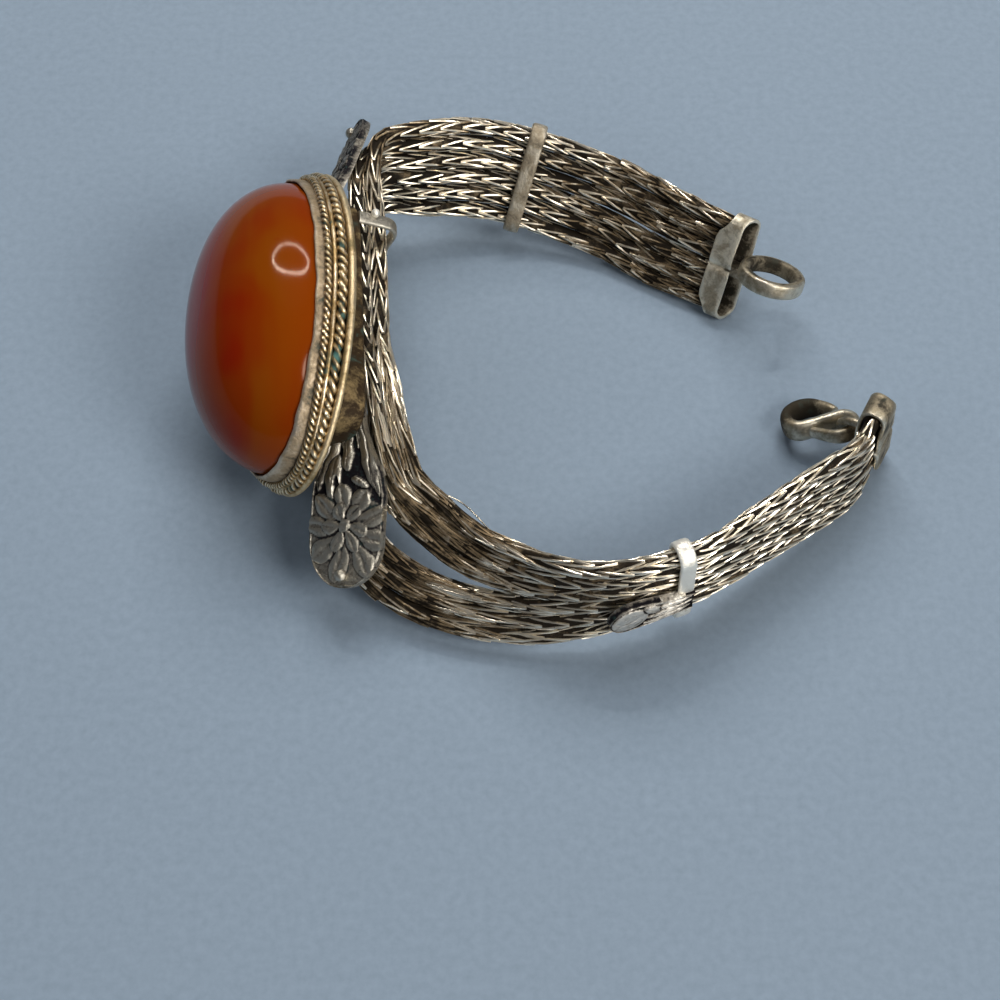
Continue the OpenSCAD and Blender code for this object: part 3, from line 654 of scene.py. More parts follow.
def plainRing(ring, sides=10, around=220):
    # round wire between the two twisted ones
    k = angles(sides)
    high = ringHeight(ring, angles(around)) + ring["wire"] * np.sin(k)
    profile = np.stack([np.broadcast_to(ring["out"] + ring["wire"] * np.cos(k), high.shape), high], -1)
    return gridSurface(ovalRing(profile, around), sunk=0.25 + 0.3 * np.sin(k) ** 2, closedRows=True)


collar = {
    # out from the stone, height and darkness at the corners of the wall's section, and the waves of its upper part
    "section": ((0.0, 0.3, 1), (0.62, 0.3, 1), (0.6, 2.0, 0.5), (0.58, 3.6, 0.3), (0.5, 4.4, 0.2), (0.36, 4.78, 0),
                (0.16, 4.86, 0.05), (0.0, 4.75, 0.6), (-0.02, 3.9, 1)),
    "rubbed": slice(4, 8), "waver": ((0.09, 7, 1), (0.07, 17, 0), (0.05, 31, 2)),
}


def collarWall(around=240):
    # thin upright wall whose edge is rubbed over the stone and wavers by a tenth of a millimetre
    waver = waves(angles(around), collar["waver"])[:, None]
    section = np.array(collar["section"])
    profile = np.repeat(section[None, :, :2], around, 0)
    profile[:, collar["rubbed"], 1] += waver
    profile[:, collar["rubbed"], 0] += 0.5 * waver
    return gridSurface(ovalRing(profile, around), sunk=section[:, 2], closedRows=True)


flange = {
    # out from the stone and height, along the back and along the floor, and how dark the whole section is
    "back": ((-14.5, 0.02), (-8, 0.02), (-1, 0.02)), "floor": ((0.4, 1.0), (-1, 0.95), (-8, 0.95), (-14.5, 0.95)),
    "dark": (0.6, 0.6, 0.5, 0.3, 0.15, 0.05, 0, 0.05, 0.2, 0.45, 0.9, 1, 1, 1), "rounding": 0.45,
}
box = {"half": 8.4, "shorter": 7, "squareness": 0.25,
       "shrink": (0.9, 0.965, 0.99, 1, 1, 1), "rise": (0, 0.08, 0.3, 0.6, 2.5, 4.6)}  # from the back edge up


def flangePlate(around=200):
    # rounded edge of the base plate, closed under the stone by a flat floor
    k, r = np.linspace(-np.pi / 2, np.pi / 2, 7), flange["rounding"]
    rim = np.stack([setting["wall"] + setting["flange"] - r + r * np.cos(k), 0.52 + 0.5 * np.sin(k)], 1)
    grid = ovalRing(np.vstack([flange["back"], rim, flange["floor"]]), around).swapaxes(0, 1)
    return gridSurface(grid, sunk=np.array(flange["dark"])[:, None])


def backBox(sides=96):
    # the flat box behind the flange: an oval squared up by a low power, its back edge rounded over
    a, power = angles(sides), box["squareness"]
    shrink, rise = np.array(box["shrink"])[:, None], np.array(box["rise"])[:, None]
    x = box["half"] * shrink * squared(np.cos(a), power)
    y = (setting["stoneLong"] - box["shorter"]) / 2 * (1 + shrink) / 2 * squared(np.sin(a), power)
    local = np.stack([x, y, np.broadcast_to(rise - setting["boxDepth"], x.shape)], -1)
    return gridSurface(onSetting(local), sunk=0.35)


strap = {"wide": 1.9, "thick": 0.7, "corner": 1.85, "places": ((1, 14.6), (-1, 14.6), (-1, -9)),
         "reach": 0.9, "sideRoom": 0.2, "room": 0.4, "sinks": 0.3,  # reach is in pitches from the bundle's middle
         "ball": 0.6, "ballAt": (0.25, 0.75, -1.9)}  # ball of solder, from the outer top of the first strap
strapHalf = band["pitch"] * strap["reach"] + band["thick"] / 2 + strap["sideRoom"]
bundleAt = 1.5 * band["pitch"] + band["backGap"] / 2


def guideStrap(side, y):
    # flat strap bent over a bundle: straight down, round a corner, straight across, round a corner and up again
    half, r = strapHalf + strap["thick"] / 2, strap["corner"]
    deep = band["pitch"] + band["thick"] + strap["room"] + strap["thick"] / 2
    a = np.linspace(np.pi, 1.5 * np.pi, 9)
    left = np.stack([-half + r + r * np.cos(a), -deep + r + r * np.sin(a)], 1)
    line = np.vstack([[[-half, strap["sinks"]]], left, left[::-1] * [-1, 1], [[half, strap["sinks"]]]])
    path = np.stack([side * bundleAt + line[:, 0], y + 0 * line[:, 0], line[:, 1] - setting["boxDepth"]], -1)
    across = np.array([0, 1.0, 0])
    up = np.cross(unit(np.gradient(path, axis=0)), across)
    grid = carried(path, across, up, softBar(strap["wide"], strap["thick"]))
    return gridSurface(onSetting(grid), sunk=0.15)


def solderBall():
    # small ball of solder on the upper guide strap
    corner = np.array([bundleAt + strapHalf + strap["thick"], strap["places"][0][1], -setting["boxDepth"]])
    return gridSurface(onSetting(smallBall(corner + strap["ballAt"], strap["ball"])), sunk=0.0)


# chased relief


def slanted(x, y, at, angle):
    # how far each place lies across and along a line that starts at one point and leans by an angle
    c, s = math.cos(math.radians(angle)), math.sin(math.radians(angle))
    dx, dy = x - at[0], y - at[1]
    return c * dx + s * dy, c * dy - s * dx


def halfRound(v):
    # height of a half circle from -1 to 1, and nothing beyond
    return np.sqrt(np.clip(1 - v ** 2, 0, 1))


def blade(x, y, foot, angle, long, wide):
    # pointed leaf: a dome across a sine-shaped outline, with a thin groove along its middle
    b, a = slanted(x, y, foot, angle)
    a = a / long
    edge = wide / 2 * np.sin(np.pi * np.clip(a, 0, 1)) ** 0.8 + 1e-6
    dome = halfRound(b / edge) * (1 - 0.35 * np.exp(-(b / 0.13) ** 2))
    return np.where((a > 0) & (a < 1), dome * (0.6 + 0.4 * np.sin(np.pi * np.clip(a, 0, 1))), 0)


def egg(x, y, centre, rx, ry, angle):
    # half an egg over an oval
    b, a = slanted(x, y, centre, angle)
    return np.sqrt(np.clip(1 - (b / rx) ** 2 - (a / ry) ** 2, 0, 1))


def grooved(x, y, centre, rx, ry, angle, level):
    # an egg with a groove along it that stands on its own level
    fold = 1 - 0.22 * np.exp(-(slanted(x, y, centre, angle)[0] / (0.09 * rx)) ** 2)
    dome = egg(x, y, centre, rx, ry, angle)
    return np.where(dome > 0, level + (1 - level) * dome * fold, 0)


def petal(x, y, heart, angle, start, long, wide, level):
    # points away from the heart: widest near its outer end, with a groove along it, on its own level, so that
    # petals lie over one another
    b, a = slanted(x, y, heart, angle)
    a = (a - start) / long
    shape = np.sin(np.pi * np.clip(a, 0, 1) ** 1.5) ** 0.6
    dome = halfRound(2 * b / (wide * shape + 1e-6)) * (1 - 0.45 * np.exp(-(b / (0.13 * wide)) ** 2))
    high = level + (1 - level) * dome * (0.55 + 0.45 * np.clip(a, 0, 1))
    return np.where((a > 0) & (a < 1) & (dome > 0), high, 0)


def bead(inside, wide):
    # raised bead that runs along an edge, from how far inside it a place lies
    return np.clip(1 - np.abs(inside - wide) / wide, 0, 1)


def chased(motifs, ground):
    # the highest motif at each place; it is dark where the next one comes close to its height, and in every
    # hollow, which is where a smoothed copy of the relief stands above it: painted shade in creases and hollows,
    # together with the patina that lies there
    stack = np.sort(np.stack([ground] + motifs), 0)
    smooth = stack[-1]
    for _ in range(8):
        smooth = sum((np.roll(smooth, *move) for move in ((1, 0), (-1, 0), (1, 1), (-1, 1))), smooth) / 5
    crease = np.exp(-((stack[-1] - stack[-2]) / 0.16) ** 2)
    return stack[-1], np.clip(0.75 * crease + 3.5 * (smooth - stack[-1]), 0, 1)


def plateShares(rows, columns):
    # shares along a plate, closer together at both ends, and across it
    return (1 - np.cos(np.linspace(0, np.pi, rows))) / 2 * 0.999, np.linspace(-1, 1, columns)[None]


def reliefPlate(place, x, y, high, dark, thick, relief, curl=0.0):
    # two copies of one flat grid, the upper raised by the relief, joined all round their edge
    top = np.stack([x, y, thick + relief * high - curl * x ** 2], -1)
    bottom = np.stack([x, y, -curl * x ** 2], -1)
    # lower parts of the relief are darker: painted shade, together with patina in the hollows
    sunk = np.concatenate([np.clip(dark + 0.35 - 0.35 * high, 0, 1), np.full(x.shape, 0.3)], 1)
    return gridSurface(place(np.concatenate([top, bottom[:, ::-1]], 1)), sunk=sunk)


leaf = {
    "long": 23, "wide": 10.6, "thick": 0.8, "relief": 0.625, "curl": 0.012, "stem": 1.7,
    "far": (2, 16.2, -0.4, 19, 0, 0), "near": (4, 16, -4.0, 6, 28, -40),  # place, then tilt, turn and roll
    "farDarker": 0.4, "inward": 2.5, "bud": 0.82, "budAt": 0.93, "budUp": 0.45, "rim": 0.2, "tipRim": 0.3,
    "heart": (0.2, 15.2),
    # petals of the flower: turn, start, length, width, level
    "petals": ((8, 1.6, 5.6, 3.1, 0.15), (47, 1.4, 5.2, 3.0, 0.25), (88, 1.2, 4.6, 2.9, 0.15),
               (127, 1.3, 4.8, 2.8, 0.25), (168, 1.2, 4.4, 2.6, 0.15), (-152, 1.2, 4.5, 2.6, 0.25),
               (-112, 1.2, 4.8, 2.9, 0.15), (-72, 1.3, 5.0, 3.0, 0.25), (-33, 1.5, 5.6, 3.1, 0.2),
               (28, 0.5, 3.1, 2.0, 0.5), (92, 0.5, 2.9, 2.0, 0.45), (152, 0.5, 2.8, 1.9, 0.5),
               (-148, 0.5, 2.8, 1.9, 0.45), (-86, 0.5, 2.9, 2.0, 0.5), (-28, 0.5, 3.1, 2.0, 0.45)),
    # ribs by the stem and blades up to the edges: height, foot, turn, length, width
    "ribs": ((0.8, (-1.5, 0.2), 6, 5.2, 0.75), (0.8, (-0.8, 0.2), 2, 5.2, 0.75), (0.8, (-0.1, 0.2), -3, 5.2, 0.75),
             (0.8, (0.7, 0.2), -6, 5.2, 0.75), (0.95, (-1.3, 0.5), 17, 10.6, 2.6), (0.8, (-3.2, 5.6), 14, 5.6, 1.4),
             (0.95, (1.3, 0.5), -17, 10.6, 2.6), (0.8, (3.2, 5.6), -14, 5.6, 1.4)),
    # the flower's heart and pods between the ribs: middle, half width, half length, turn, level
    "pods": (((0.2, 15.2), 0.75, 0.85, 0, 0.8), ((-0.1, 6.2), 0.8, 2.1, -6, 0.3), ((1.9, 9.4), 1.2, 0.6, 10, 0.2)),
    "openPod": ((-2.0, 8.8), 1.2, 2.9, 8, 0.3), "podHollow": ((-1.6, 10), 0.45, 1.5, 8),
    "ground": 0.3, "groundFrom": 11.6,
}


def leafEdge(v):
    # half the plate's width: a stem that swells to the full width, then a round end
    wide = leaf["wide"] / 2
    swell = leaf["stem"] + (wide - leaf["stem"]) * np.sin(np.pi / 2 * np.minimum(1, v / 0.5)) ** 2
    end = wide * np.sqrt(np.maximum(0, 1 - (np.maximum(v - 0.74, 0) / 0.26) ** 2))
    return np.where(v < 0.74, swell, end)


def leafRelief(x, y, edge):
    # ribs and pods over a dark ground next to the stem, broad blades up to the edges, then a flower of
    # overlapping petals on a higher ground; slow sines bend the whole drawing
    rim = np.maximum(bead(edge - np.abs(x), leaf["rim"]), bead(leaf["long"] - y, leaf["tipRim"]) * (np.abs(x) < 2))
    x, y = x + 0.15 * np.sin(0.9 * y + 0.5) + 0.06 * np.sin(2.9 * y), y + 0.2 * np.sin(1.1 * x + 1)
    motifs = [petal(x, y, leaf["heart"], *p) for p in leaf["petals"]]
    motifs += [high * blade(x, y, *rib) for high, *rib in leaf["ribs"]]
    motifs += [grooved(x, y, *pod) for pod in leaf["pods"]]
    motifs.append(grooved(x, y, *leaf["openPod"]) - 1.3 * egg(x, y, *leaf["podHollow"]))
    ground = leaf["ground"] / (1 + np.exp((leaf["groundFrom"] + 0.5 * np.cos(1.2 * x) - y) / 0.15))
    high, dark = chased(motifs, ground)
    return np.maximum(high, 0.7 * rim), dark * (1 - rim)


def leafPlate(side, at, darkerBy=0.0):
    # the outline filled with the relief, curled a little across, then tilted and turned into its place
    v, h = plateShares(210, 84)
    edge = leafEdge(v)[:, None]
    x, y = edge * h, np.broadcast_to(v[:, None] * leaf["long"], (len(v), h.shape[1]))
    high, dark = leafRelief(-x, y, edge)
    roll = turned("z", at[4] if side > 0 else 180 - at[4]) @ turned("x", -at[3]) @ turned("y", at[5])

    def place(p):
        return onSetting((p - [0, leaf["inward"], leaf["thick"]]) @ roll.T + [at[0], side * at[1], at[2]])

    # the far plate is made darker all over
    plate = reliefPlate(place, x, y, high, dark + darkerBy, leaf["thick"], leaf["relief"], leaf["curl"])
    bud = smallBall([0, leaf["long"] * leaf["budAt"], leaf["thick"] + leaf["budUp"]], leaf["bud"])
    return joined([plate, gridSurface(place(bud), sunk=0.1)])


threeRings = joined([ropeRing(rings["coarse"]), plainRing(rings["plain"]), ropeRing(rings["fine"])])
for name, surface, look in (
        ("settingFlange", flangePlate(), "rubbedFlange"),
        ("settingRings", threeRings, "wornGilt"),
        ("settingCollar", collarWall(), "rubbedCollar"),
        ("settingBox", backBox(), "shadedGilt"),
        ("guideStraps", joined([guideStrap(*place) for place in strap["places"]]), "chasedRelief"),
        ("solderBall", solderBall(), "rubbedStrap"),
        ("leafFar", leafPlate(1, leaf["far"], leaf["farDarker"]), "chasedRelief"),
        ("leafNear", leafPlate(-1, leaf["near"]), "chasedRelief")):
    addPiece(name, surface, metals[look], "setting")
print("setting built")


# sliders

slider = {
    "far": 3, "near": 19.8, "wide": 2.2, "thick": 0.7, "room": 0.2,
    "plateLong": 10.5, "plateWide": 6, "plateThick": 0.7, "plateLow": 2.2, "plateTurn": 4,
    "stem": 1.9, "foot": 1, "rim": 0.16, "relief": 0.6,
    # long ribs, slanting from the strap: foot, turn, length, width
    "ribs": (((-1.5, -0.6), 4, 6.4, 0.95), ((-0.5, -0.8), 0, 7, 0.95),
             ((0.6, -0.6), -5, 6.2, 0.95), ((1.6, -0.2), -9, 5, 0.95)),
    # smooth pads, measured from where the round end starts: middle, half width, half length, turn, level
    "pads": (((0, 0.3), 2.3, 2.5, 20, 0.5), ((1.2, -2.6), 0.9, 1.5, -30, 0.3)),
}
sliderDeep = band["thick"] / 2 + slider["room"]


def sliderStrap(u):
    # a strap carried round the whole band: half circles at both edges, straight across both faces
    row, heading, width, out = bandAxes(u)
    straight = 2.5 * band["pitch"] + (band["thick"] + row[4]) / 2 + slider["room"] - sliderDeep
    r = sliderDeep + slider["thick"] / 2
    bend, flat = np.linspace(-np.pi / 2, np.pi / 2, 13), np.linspace(-0.8, 0.8, 7)[:, None] * straight
    right = np.stack([straight + r * np.cos(bend), r * np.sin(bend)], 1)
    outer = np.hstack([-flat, 0 * flat + r])
    line = np.vstack([right, outer, right[::-1] * [-1, 1], -outer])
    path = row[:3] + line[:, :1] * width + line[:, 1:] * out
    way = unit(np.roll(path, -1, 0) - np.roll(path, 1, 0))
    section = softBar(slider["wide"], slider["thick"], 18)
    return gridSurface(carried(path, heading, np.cross(way, heading), section), sunk=0.12, closedRows=True)


def sliderPlate(u, toward):
    # round-ended plate on the band's outer face, with ribs that run to a smooth pad at its end
    row, heading, width, out = bandAxes(u)
    wide = slider["plateWide"] / 2
    start = slider["plateLong"] - wide
    v, h = plateShares(130, 64)
    y = v * (slider["plateLong"] + slider["foot"]) - slider["foot"]
    swell = slider["stem"] + (wide - slider["stem"]) * np.clip((y + slider["foot"]) / (start + 0.2), 0, 1) ** 1.2
    edge = np.where(y < start, swell, wide * halfRound((y - start) / wide))[:, None]
    x, y = edge * h, np.broadcast_to(y[:, None], (len(v), h.shape[1]))
    bent = x + 0.1 * np.sin(1.7 * y) + 0.16 * (y - 4)
    motifs = [grooved(x, y, (at[0], start + at[1]), *pad) for at, *pad in slider["pads"]]
    high, dark = chased(motifs + [blade(bent, y, *rib) for rib in slider["ribs"]], 0 * x)
    rim = bead(edge - np.abs(x), slider["rim"])
    slant = turned("z", -toward * slider["plateTurn"])

    def place(p):
        p = p @ slant.T
        across, along, above = toward * p[..., :1], toward * p[..., 1:2], p[..., 2:]
        return row[:3] + (across - slider["plateLow"]) * width - along * heading + (above + sliderDeep + 0.1) * out

    high, dark = np.maximum(high, 0.6 * rim), dark * (1 - rim)
    return reliefPlate(place, x, y, high, dark, slider["plateThick"], slider["relief"])


for name, node, u, toward, look in (("Far", "slider_far", slider["far"], -1, "dulledStrap"),
                                    ("Near", "slider_near", slider["near"], 1, "rubbedStrap")):
    addPiece(f"slider{name}Strap", sliderStrap(u), metals[look], node)
    addPiece(f"slider{name}Flower", sliderPlate(u, toward), metals["chasedPlate"], node)
print("sliders bent")


# end caps, eye, loop and hook

cap = {
    "long": 5, "sheet": 0.5, "room": 0.15, "slant": 1.5, "rimRoom": 0.08,
    "scoop": 5, "scoopAt": 8.6, "scoopLow": 3.4,  # circle that cuts the side towards the band
    "waver": ((0.08, 3, 1), (0.05, 8, 0)), "waverTop": 0.06,
    # the wall's section: share of the sheet outward, level between the two rims, darkness
    "section": ((0, 0.03, 0.5), (0.25, 0, 0.1), (0.75, 0, 0.1), (1, 0.03, 0.2), (1, 0.25, 0.45), (1, 0.5, 0.5),
                (1, 0.75, 0.45), (1, 0.96, 0.2), (0.8, 1, 0), (0.45, 1, 0), (0.12, 0.98, 0.1), (0, 0.9, 0.7),
                (0, 0.6, 1), (0, 0.3, 1)),
    "webWide": 1.4, "webCorner": 0.3, "webFrom": 2.5,
    "eyeIn": 3.3, "eyeThick": 1.4, "eyeWide": 2.2, "eyeUp": -1.2, "eyeOut": -0.4, "eyeGap": 0.7,
    "loop": 2.6, "loopWire": 1.2, "loopUp": -1.6, "loopDown": 2.2,
}
capInner = band["thick"] / 2 + cap["room"]
capOuter = capInner + cap["sheet"]
loopAt = np.array([cap["loopUp"], -capOuter - 0.4, cap["long"] - cap["loopDown"]])


def endAxes(u):
    # the cap's own axes: across the band, out of the loop, and out of the band's end
    row, heading, _, out = bandAxes(u)
    z = -heading if u < lastRow / 2 else heading
    x = np.cross(out, z)
    at = row[:3] + band["capFrom"] * z

    def place(p):
        p = np.asarray(p, float)
        return at + p[..., :1] * x + p[..., 1:2] * out + p[..., 2:] * z

    return place


def capOutline(r):
    # two flat round-ended loops that meet at a pinch: an arc from the pinch, a straight and a half circle, mirrored
    near, far = 0.5 * band["pitch"], 2.5 * band["pitch"]
    a = np.linspace(math.pi - math.acos(near / r), math.pi / 2, 7)
    b = np.linspace(math.pi / 2, -math.pi / 2, 17)
    lobe = np.stack([near + r * np.cos(a), r * np.sin(a)], 1)
    top = np.stack([np.linspace(near, far, 6)[1:-1], np.full(4, r)], 1)
    end = np.stack([far + r * np.cos(b), r * np.sin(b)], 1)
    right = np.vstack([lobe, top, end, top[::-1] * [1, -1], lobe[::-1] * [1, -1]])
    return np.vstack([right, right[::-1][1:-1] * [-1, 1]])


def capShell(place, slant):
    # the wall's section carried along the outline; the rim falls by slant towards the inside of the loop
    inside, outside = capOutline(capInner), capOutline(capOuter)
    reach = np.abs(outside[:, 0]) - cap["scoopAt"]
    low = np.maximum(0, np.sqrt(np.maximum(0, cap["scoop"] ** 2 - reach ** 2)) - cap["scoopLow"])[:, None]
    waver = np.minimum(waves(angles(len(low)), cap["waver"]), cap["waverTop"])
    high = cap["long"] - cap["rimRoom"] + waver - slant * (capOuter - outside[:, 1]) / (2 * capOuter)
    share, level, sunk = np.array(cap["section"], float).T
    flat = inside[:, None] + share[None, :, None] * (outside - inside)[:, None]
    grid = np.concatenate([flat, (low + level * (high[:, None] - low))[..., None]], -1)
    return gridSurface(place(grid), sunk=sunk, closedRows=True)


def pinchWeb(place):
    # small block that closes the pinch
    bar = roundedBar(cap["webWide"], band["thick"] + 0.6, cap["webCorner"])
    path = np.linspace([0, 0, cap["webFrom"]], [0, 0, cap["long"] - 0.02], 6)
    return gridSurface(place(carried(path, [1, 0, 0], [0, 1, 0], bar)), sunk=0.7)


def eyeRing(place, around=96):
    # strip bent to a full circle, its ends meeting on the cap
    centre = np.array([cap["eyeUp"], cap["eyeOut"], cap["long"] + cap["eyeIn"] + cap["eyeGap"]])
    a = angles(around)
    radial = np.stack([0 * a, np.sin(a), np.cos(a)], -1)
    bar = softBar(cap["eyeWide"], cap["eyeThick"], 24, 0.5)
    grid = centre + carried((cap["eyeIn"] + cap["eyeThick"] / 2) * radial, [1, 0, 0], radial, bar)
    return gridSurface(place(grid), sunk=np.where(bar[:, 1] > 0.2, 0.1, 0.55), closedRows=True)


def wireLoop(place):
    # a little over half a circle of round wire, both feet on the cap
    foot = math.asin(0.5 / cap["loop"])
    a = np.linspace(math.pi - foot, 2 * math.pi + foot, 33)
    radial = np.stack([np.cos(a), np.sin(a), 0 * a], -1)
    wire = roundWire(cap["loopWire"] / 2, 14)
    return gridSurface(place(loopAt + carried(cap["loop"] * radial, [0, 0, 1], radial, wire)), sunk=0.3)


farPlace, nearPlace = endAxes(0), endAxes(lastRow)
farCap = joined([capShell(farPlace, cap["slant"]), pinchWeb(farPlace)])
nearCap = joined([capShell(nearPlace, 0), pinchWeb(nearPlace), wireLoop(nearPlace)])
addPiece("capFar", farCap, metals["mottledCap"], "cap_far")
addPiece("capEye", eyeRing(farPlace), metals["wornAndShadedSheet"], "cap_far")
# the near cap takes the heavy-dirt sheet, which paints the shade it lies in
addPiece("capNear", nearCap, metals["wornAndShadedSheet"], "cap_near")

hook = {
    "thick": 1.8, "holdThick": 1.5, "tipThick": 1.0, "wide": 3.5, "holdWide": 2.6, "tipWide": 1.4,
    "open": 2.8, "openAt": (-7.4, 0.3), "openTurn": (75, 285),
    "closed": 2.2, "closedTurn": (110, -95), "holdTurn": 10,
    # points before the open bend and after the closed one, from their middles
    "openTip": ((3.2, 2.3), (1.9, 2.7)), "closedTip": ((-1.6, -2.1), (-3.2, -1.9)),
    "lies": (-27, 26, 15), "hangs": (-0.1, -1.05, 0.5), "steps": 110, "sides": 20, "smoothing": 6,
    "thinning": (0.4, 0.6), "squareness": 0.75, "broadTo": 16, "narrowsOver": 6,  # both in corners of the line
    # darkening along the S by corners: the open bend's outer side, which faces the floor, is painted dark as shade,
    # with some dirt
    "shadeAndDirtAt": (0, 4, 9, 12, 14, 18, 22, 29), "shadeAndDirt": (0.35, 0.85, 0.95, 0.4, 0.0, 0.0, 0.35, 0.1),
}


def hookLine():
    # an S in one plane: an open bend, a middle bar and a closed bend, smoothed; and how far along its corners
    def bend(c, r, start, end):
        a = np.radians(np.linspace(start, end, 13))
        return c + r * np.stack([np.cos(a), np.sin(a)], 1)

    turn = math.radians(hook["holdTurn"])
    openAt, closedAt = np.array(hook["openAt"]), -hook["closed"] * np.array([math.cos(turn), math.sin(turn)])
    corners = np.vstack([openAt + hook["openTip"], bend(openAt, hook["open"], *hook["openTurn"]),
                         bend(closedAt, hook["closed"], *hook["closedTurn"]), closedAt + hook["closedTip"]])
    at = np.linspace(0, len(corners) - 1, hook["steps"])
    line = np.stack([np.interp(at, np.arange(len(corners)), corners[:, k]) for k in (0, 1)], 1)
    for _ in range(hook["smoothing"]):
        line[1:-1] = (line[:-2] + 2 * line[1:-1] + line[2:]) / 4
    return line, at


def hookStrip():
    # an oval section carried along the S, broad and stout in the open bend, that thins to both tips as a power of
    # a sine
    line, at = hookLine()
    share = np.linspace(0.004, 0.996, len(line))
    full = np.sin(np.pi * share) ** np.where(share < 0.5, *hook["thinning"])
    before = np.clip((hook["broadTo"] - at) / hook["narrowsOver"], 0, 1)
    broad = hook["holdWide"] + (hook["wide"] - hook["holdWide"]) * before
    stout = hook["holdThick"] + (hook["thick"] - hook["holdThick"]) * before
    thick = (hook["tipThick"] + (stout - hook["tipThick"]) * full)[:, None] / 2
    wide = (hook["tipWide"] + (broad - hook["tipWide"]) * full)[:, None] / 2
    path = np.hstack([line, np.zeros((len(line), 1))])
    upward = np.array([0, 0, 1.0])
    flat = np.cross(upward, unit(np.gradient(path, axis=0)))
    k = angles(hook["sides"])
    section = [thick * squared(np.cos(k), hook["squareness"]), wide * squared(np.sin(k), hook["squareness"])]
    lies, hangs = hook["lies"], hook["hangs"]
    roll = turned("z", lies[0]) @ turned("y", -lies[1]) @ turned("x", -lies[2])
    row, heading, width, out = bandAxes(lastRow)
    hang = row[:3] + (loopAt[0] + hangs[0]) * width + (hangs[1] - capOuter) * out
    hang = hang + (band["capFrom"] + loopAt[2] + hangs[2]) * heading
    # painted shade with some dirt, darkest on the open bend
    hookShadeAndDirt = np.interp(at, hook["shadeAndDirtAt"], hook["shadeAndDirt"])[:, None]
    return gridSurface(carried(path, flat, upward, np.stack(section, -1)) @ roll.T + hang, sunk=hookShadeAndDirt)


addPiece("hookStrip", hookStrip(), metals["wornAndShadedSheet"], "hook")
print("clasp made")


# floor, light and camera

# the studio's places and sizes are in metres
studio = {
    "floor": (0.175, 0.225, 0.285, 1), "floorGrain": (0.125, 0.165, 0.21, 1), "floorNoise": (900.0, 3.0),
    "floorRough": 0.8,
    "floorCorners": ((-3, -3, 0), (3, -3, 0), (3, 3, 0), (-3, 3, 0)),
    "ring": 105.0, "ringTone": (1.0, 0.96, 0.9, 1), "ringAt": (-0.016, 0.387, 0.492),
    "ringAcross": 0.19, "ringAlong": 0.122, "ringWide": 0.008,
    "sky": 0.1, "skyTone": (0.9, 0.93, 1.0, 1),
    # round area lights: place, what they point at, size, power, tone, and whether gloss shows them; one that it
    # doesn't show leaves no spot on the stone
    "lights": {"softLight": ((0.03, 0.32, 0.68), (0, 0, 0), 0.5, 3.6, (1, 1, 1), False),
               "fillLight": ((0.45, -0.35, 0.6), (0, 0, 0), 0.35, 4.8, (1.0, 0.97, 0.92), True),
               "frontLight": ((0.32, -0.65, 0.12), (0, 0, 0), 0.3, 1.2, (1.0, 0.96, 0.9), True),
               "leftLight": ((-0.45, -0.25, 0.5), (-0.02, 0, 0), 0.5, 1.2, (1, 1, 1), False)},
}


def addStage(name, points, faces, material):
    mesh = bpy.data.meshes.new(name)
    mesh.from_pydata(points, [], faces)
    mesh.materials.append(material)
    thing = bpy.data.objects.new(name, mesh)
    bpy.context.scene.collection.objects.link(thing)
    return thing


def addFloor():
    # one large square of plain pale paper
    material, tree, shader = newMaterial("plainFloor")
    grain = noiseNode(tree, objectPlace(tree), *studio["floorNoise"])
    feed(tree, blendColours(tree, grain, studio["floor"], studio["floorGrain"]), shader.inputs["Base Color"])
    shader.inputs["Roughness"].default_value = studio["floorRough"]
    addStage("floor", studio["floorCorners"], [(0, 1, 2, 3)], material)


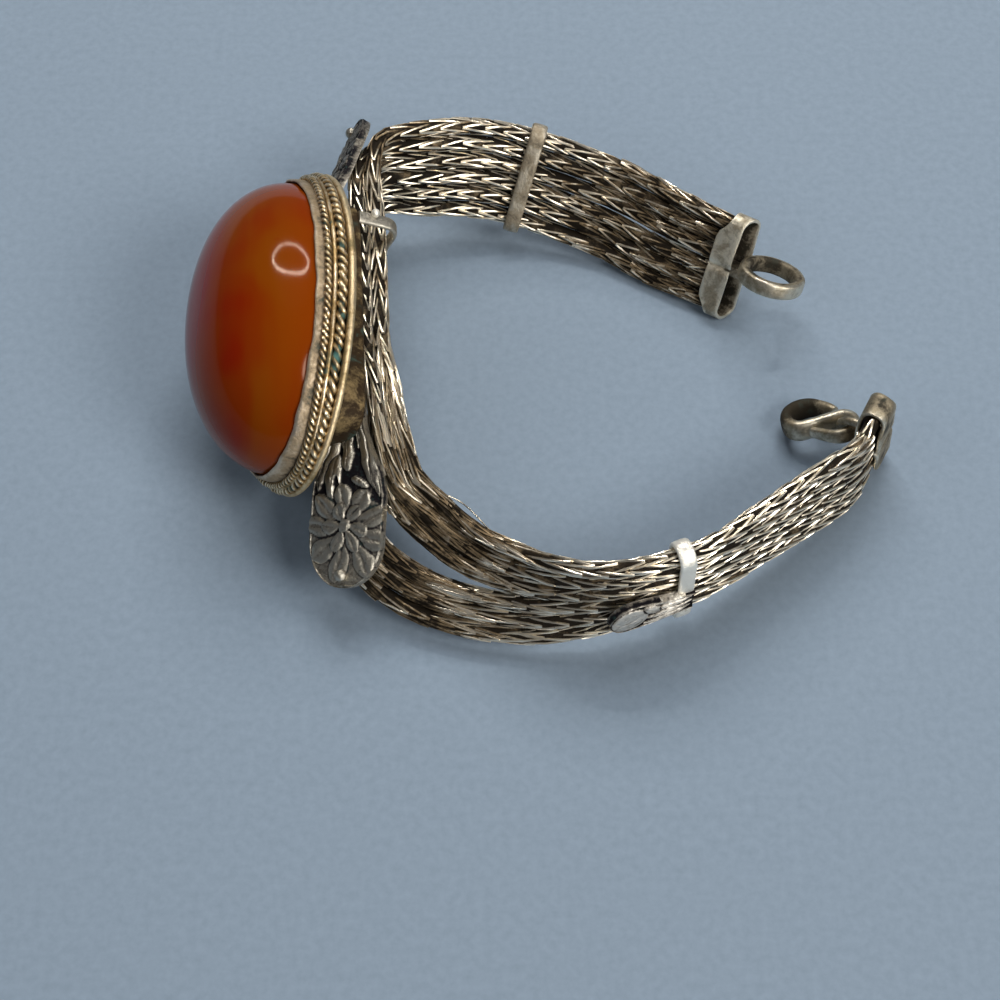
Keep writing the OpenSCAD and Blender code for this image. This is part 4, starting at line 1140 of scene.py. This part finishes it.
def addRingLight(around=96):
    # flat glowing oval ring over the far side, whose reflection is the ring on the stone
    a, n = angles(around), np.arange(around)
    oval = np.stack([np.cos(a), np.sin(a), 0 * a], 1)
    rims = [np.array(studio["ringAt"]) + [studio["ringAcross"] + wide, studio["ringAlong"] + wide, 0] * oval
            for wide in (0, studio["ringWide"])]
    faces = np.stack([n, (n + 1) % around, around + (n + 1) % around, around + n], 1)
    material, tree, shader = newMaterial("ringGlow")
    shader.inputs["Emission Color"].default_value = studio["ringTone"]
    shader.inputs["Emission Strength"].default_value = studio["ring"]
    addStage("ringLight", np.vstack(rims).tolist(), faces.tolist(), material).visible_camera = False


def addLight(name, at, toward, size, power, tone, mirrored):
    data = bpy.data.lights.new(name, "AREA")
    data.shape, data.size, data.energy, data.color = "DISK", size, power, tone
    light = bpy.data.objects.new(name, data)
    light.location = at
    light.rotation_mode = "QUATERNION"
    light.rotation_quaternion = Vector(np.subtract(toward, at)).to_track_quat("-Z", "Y")
    light.visible_glossy = mirrored
    bpy.context.scene.collection.objects.link(light)


addFloor()
addRingLight()
for name, values in studio["lights"].items():
    addLight(name, *values)
world = bpy.data.worlds.new("studio")
world.use_nodes = True
world.node_tree.nodes["Background"].inputs["Color"].default_value = studio["skyTone"]
world.node_tree.nodes["Background"].inputs["Strength"].default_value = studio["sky"]
bpy.context.scene.world = world
bpy.context.scene.view_settings.view_transform = "Standard"

# the focal length is in widths of a 1000 pixel picture
view = {"target": (-5.8, -14.6, 0.0), "distance": 260.0, "elevation": 61.0, "focal": 1.924, "sensor": 36.0}
lens = bpy.data.cameras.new("camera")
lens.sensor_width = view["sensor"]
lens.lens = view["sensor"] * view["focal"]
lens.clip_start, lens.clip_end = 0.01, 20
camera = bpy.data.objects.new("camera", lens)
rise = math.radians(view["elevation"])
towards = (0, -math.cos(rise), math.sin(rise))
camera.location = [(t + view["distance"] * d) * mm for t, d in zip(view["target"], towards)]
camera.rotation_euler = (math.pi / 2 - rise, 0, 0)
bpy.context.scene.collection.objects.link(camera)
bpy.context.scene.camera = camera
print("floor, light and camera placed")
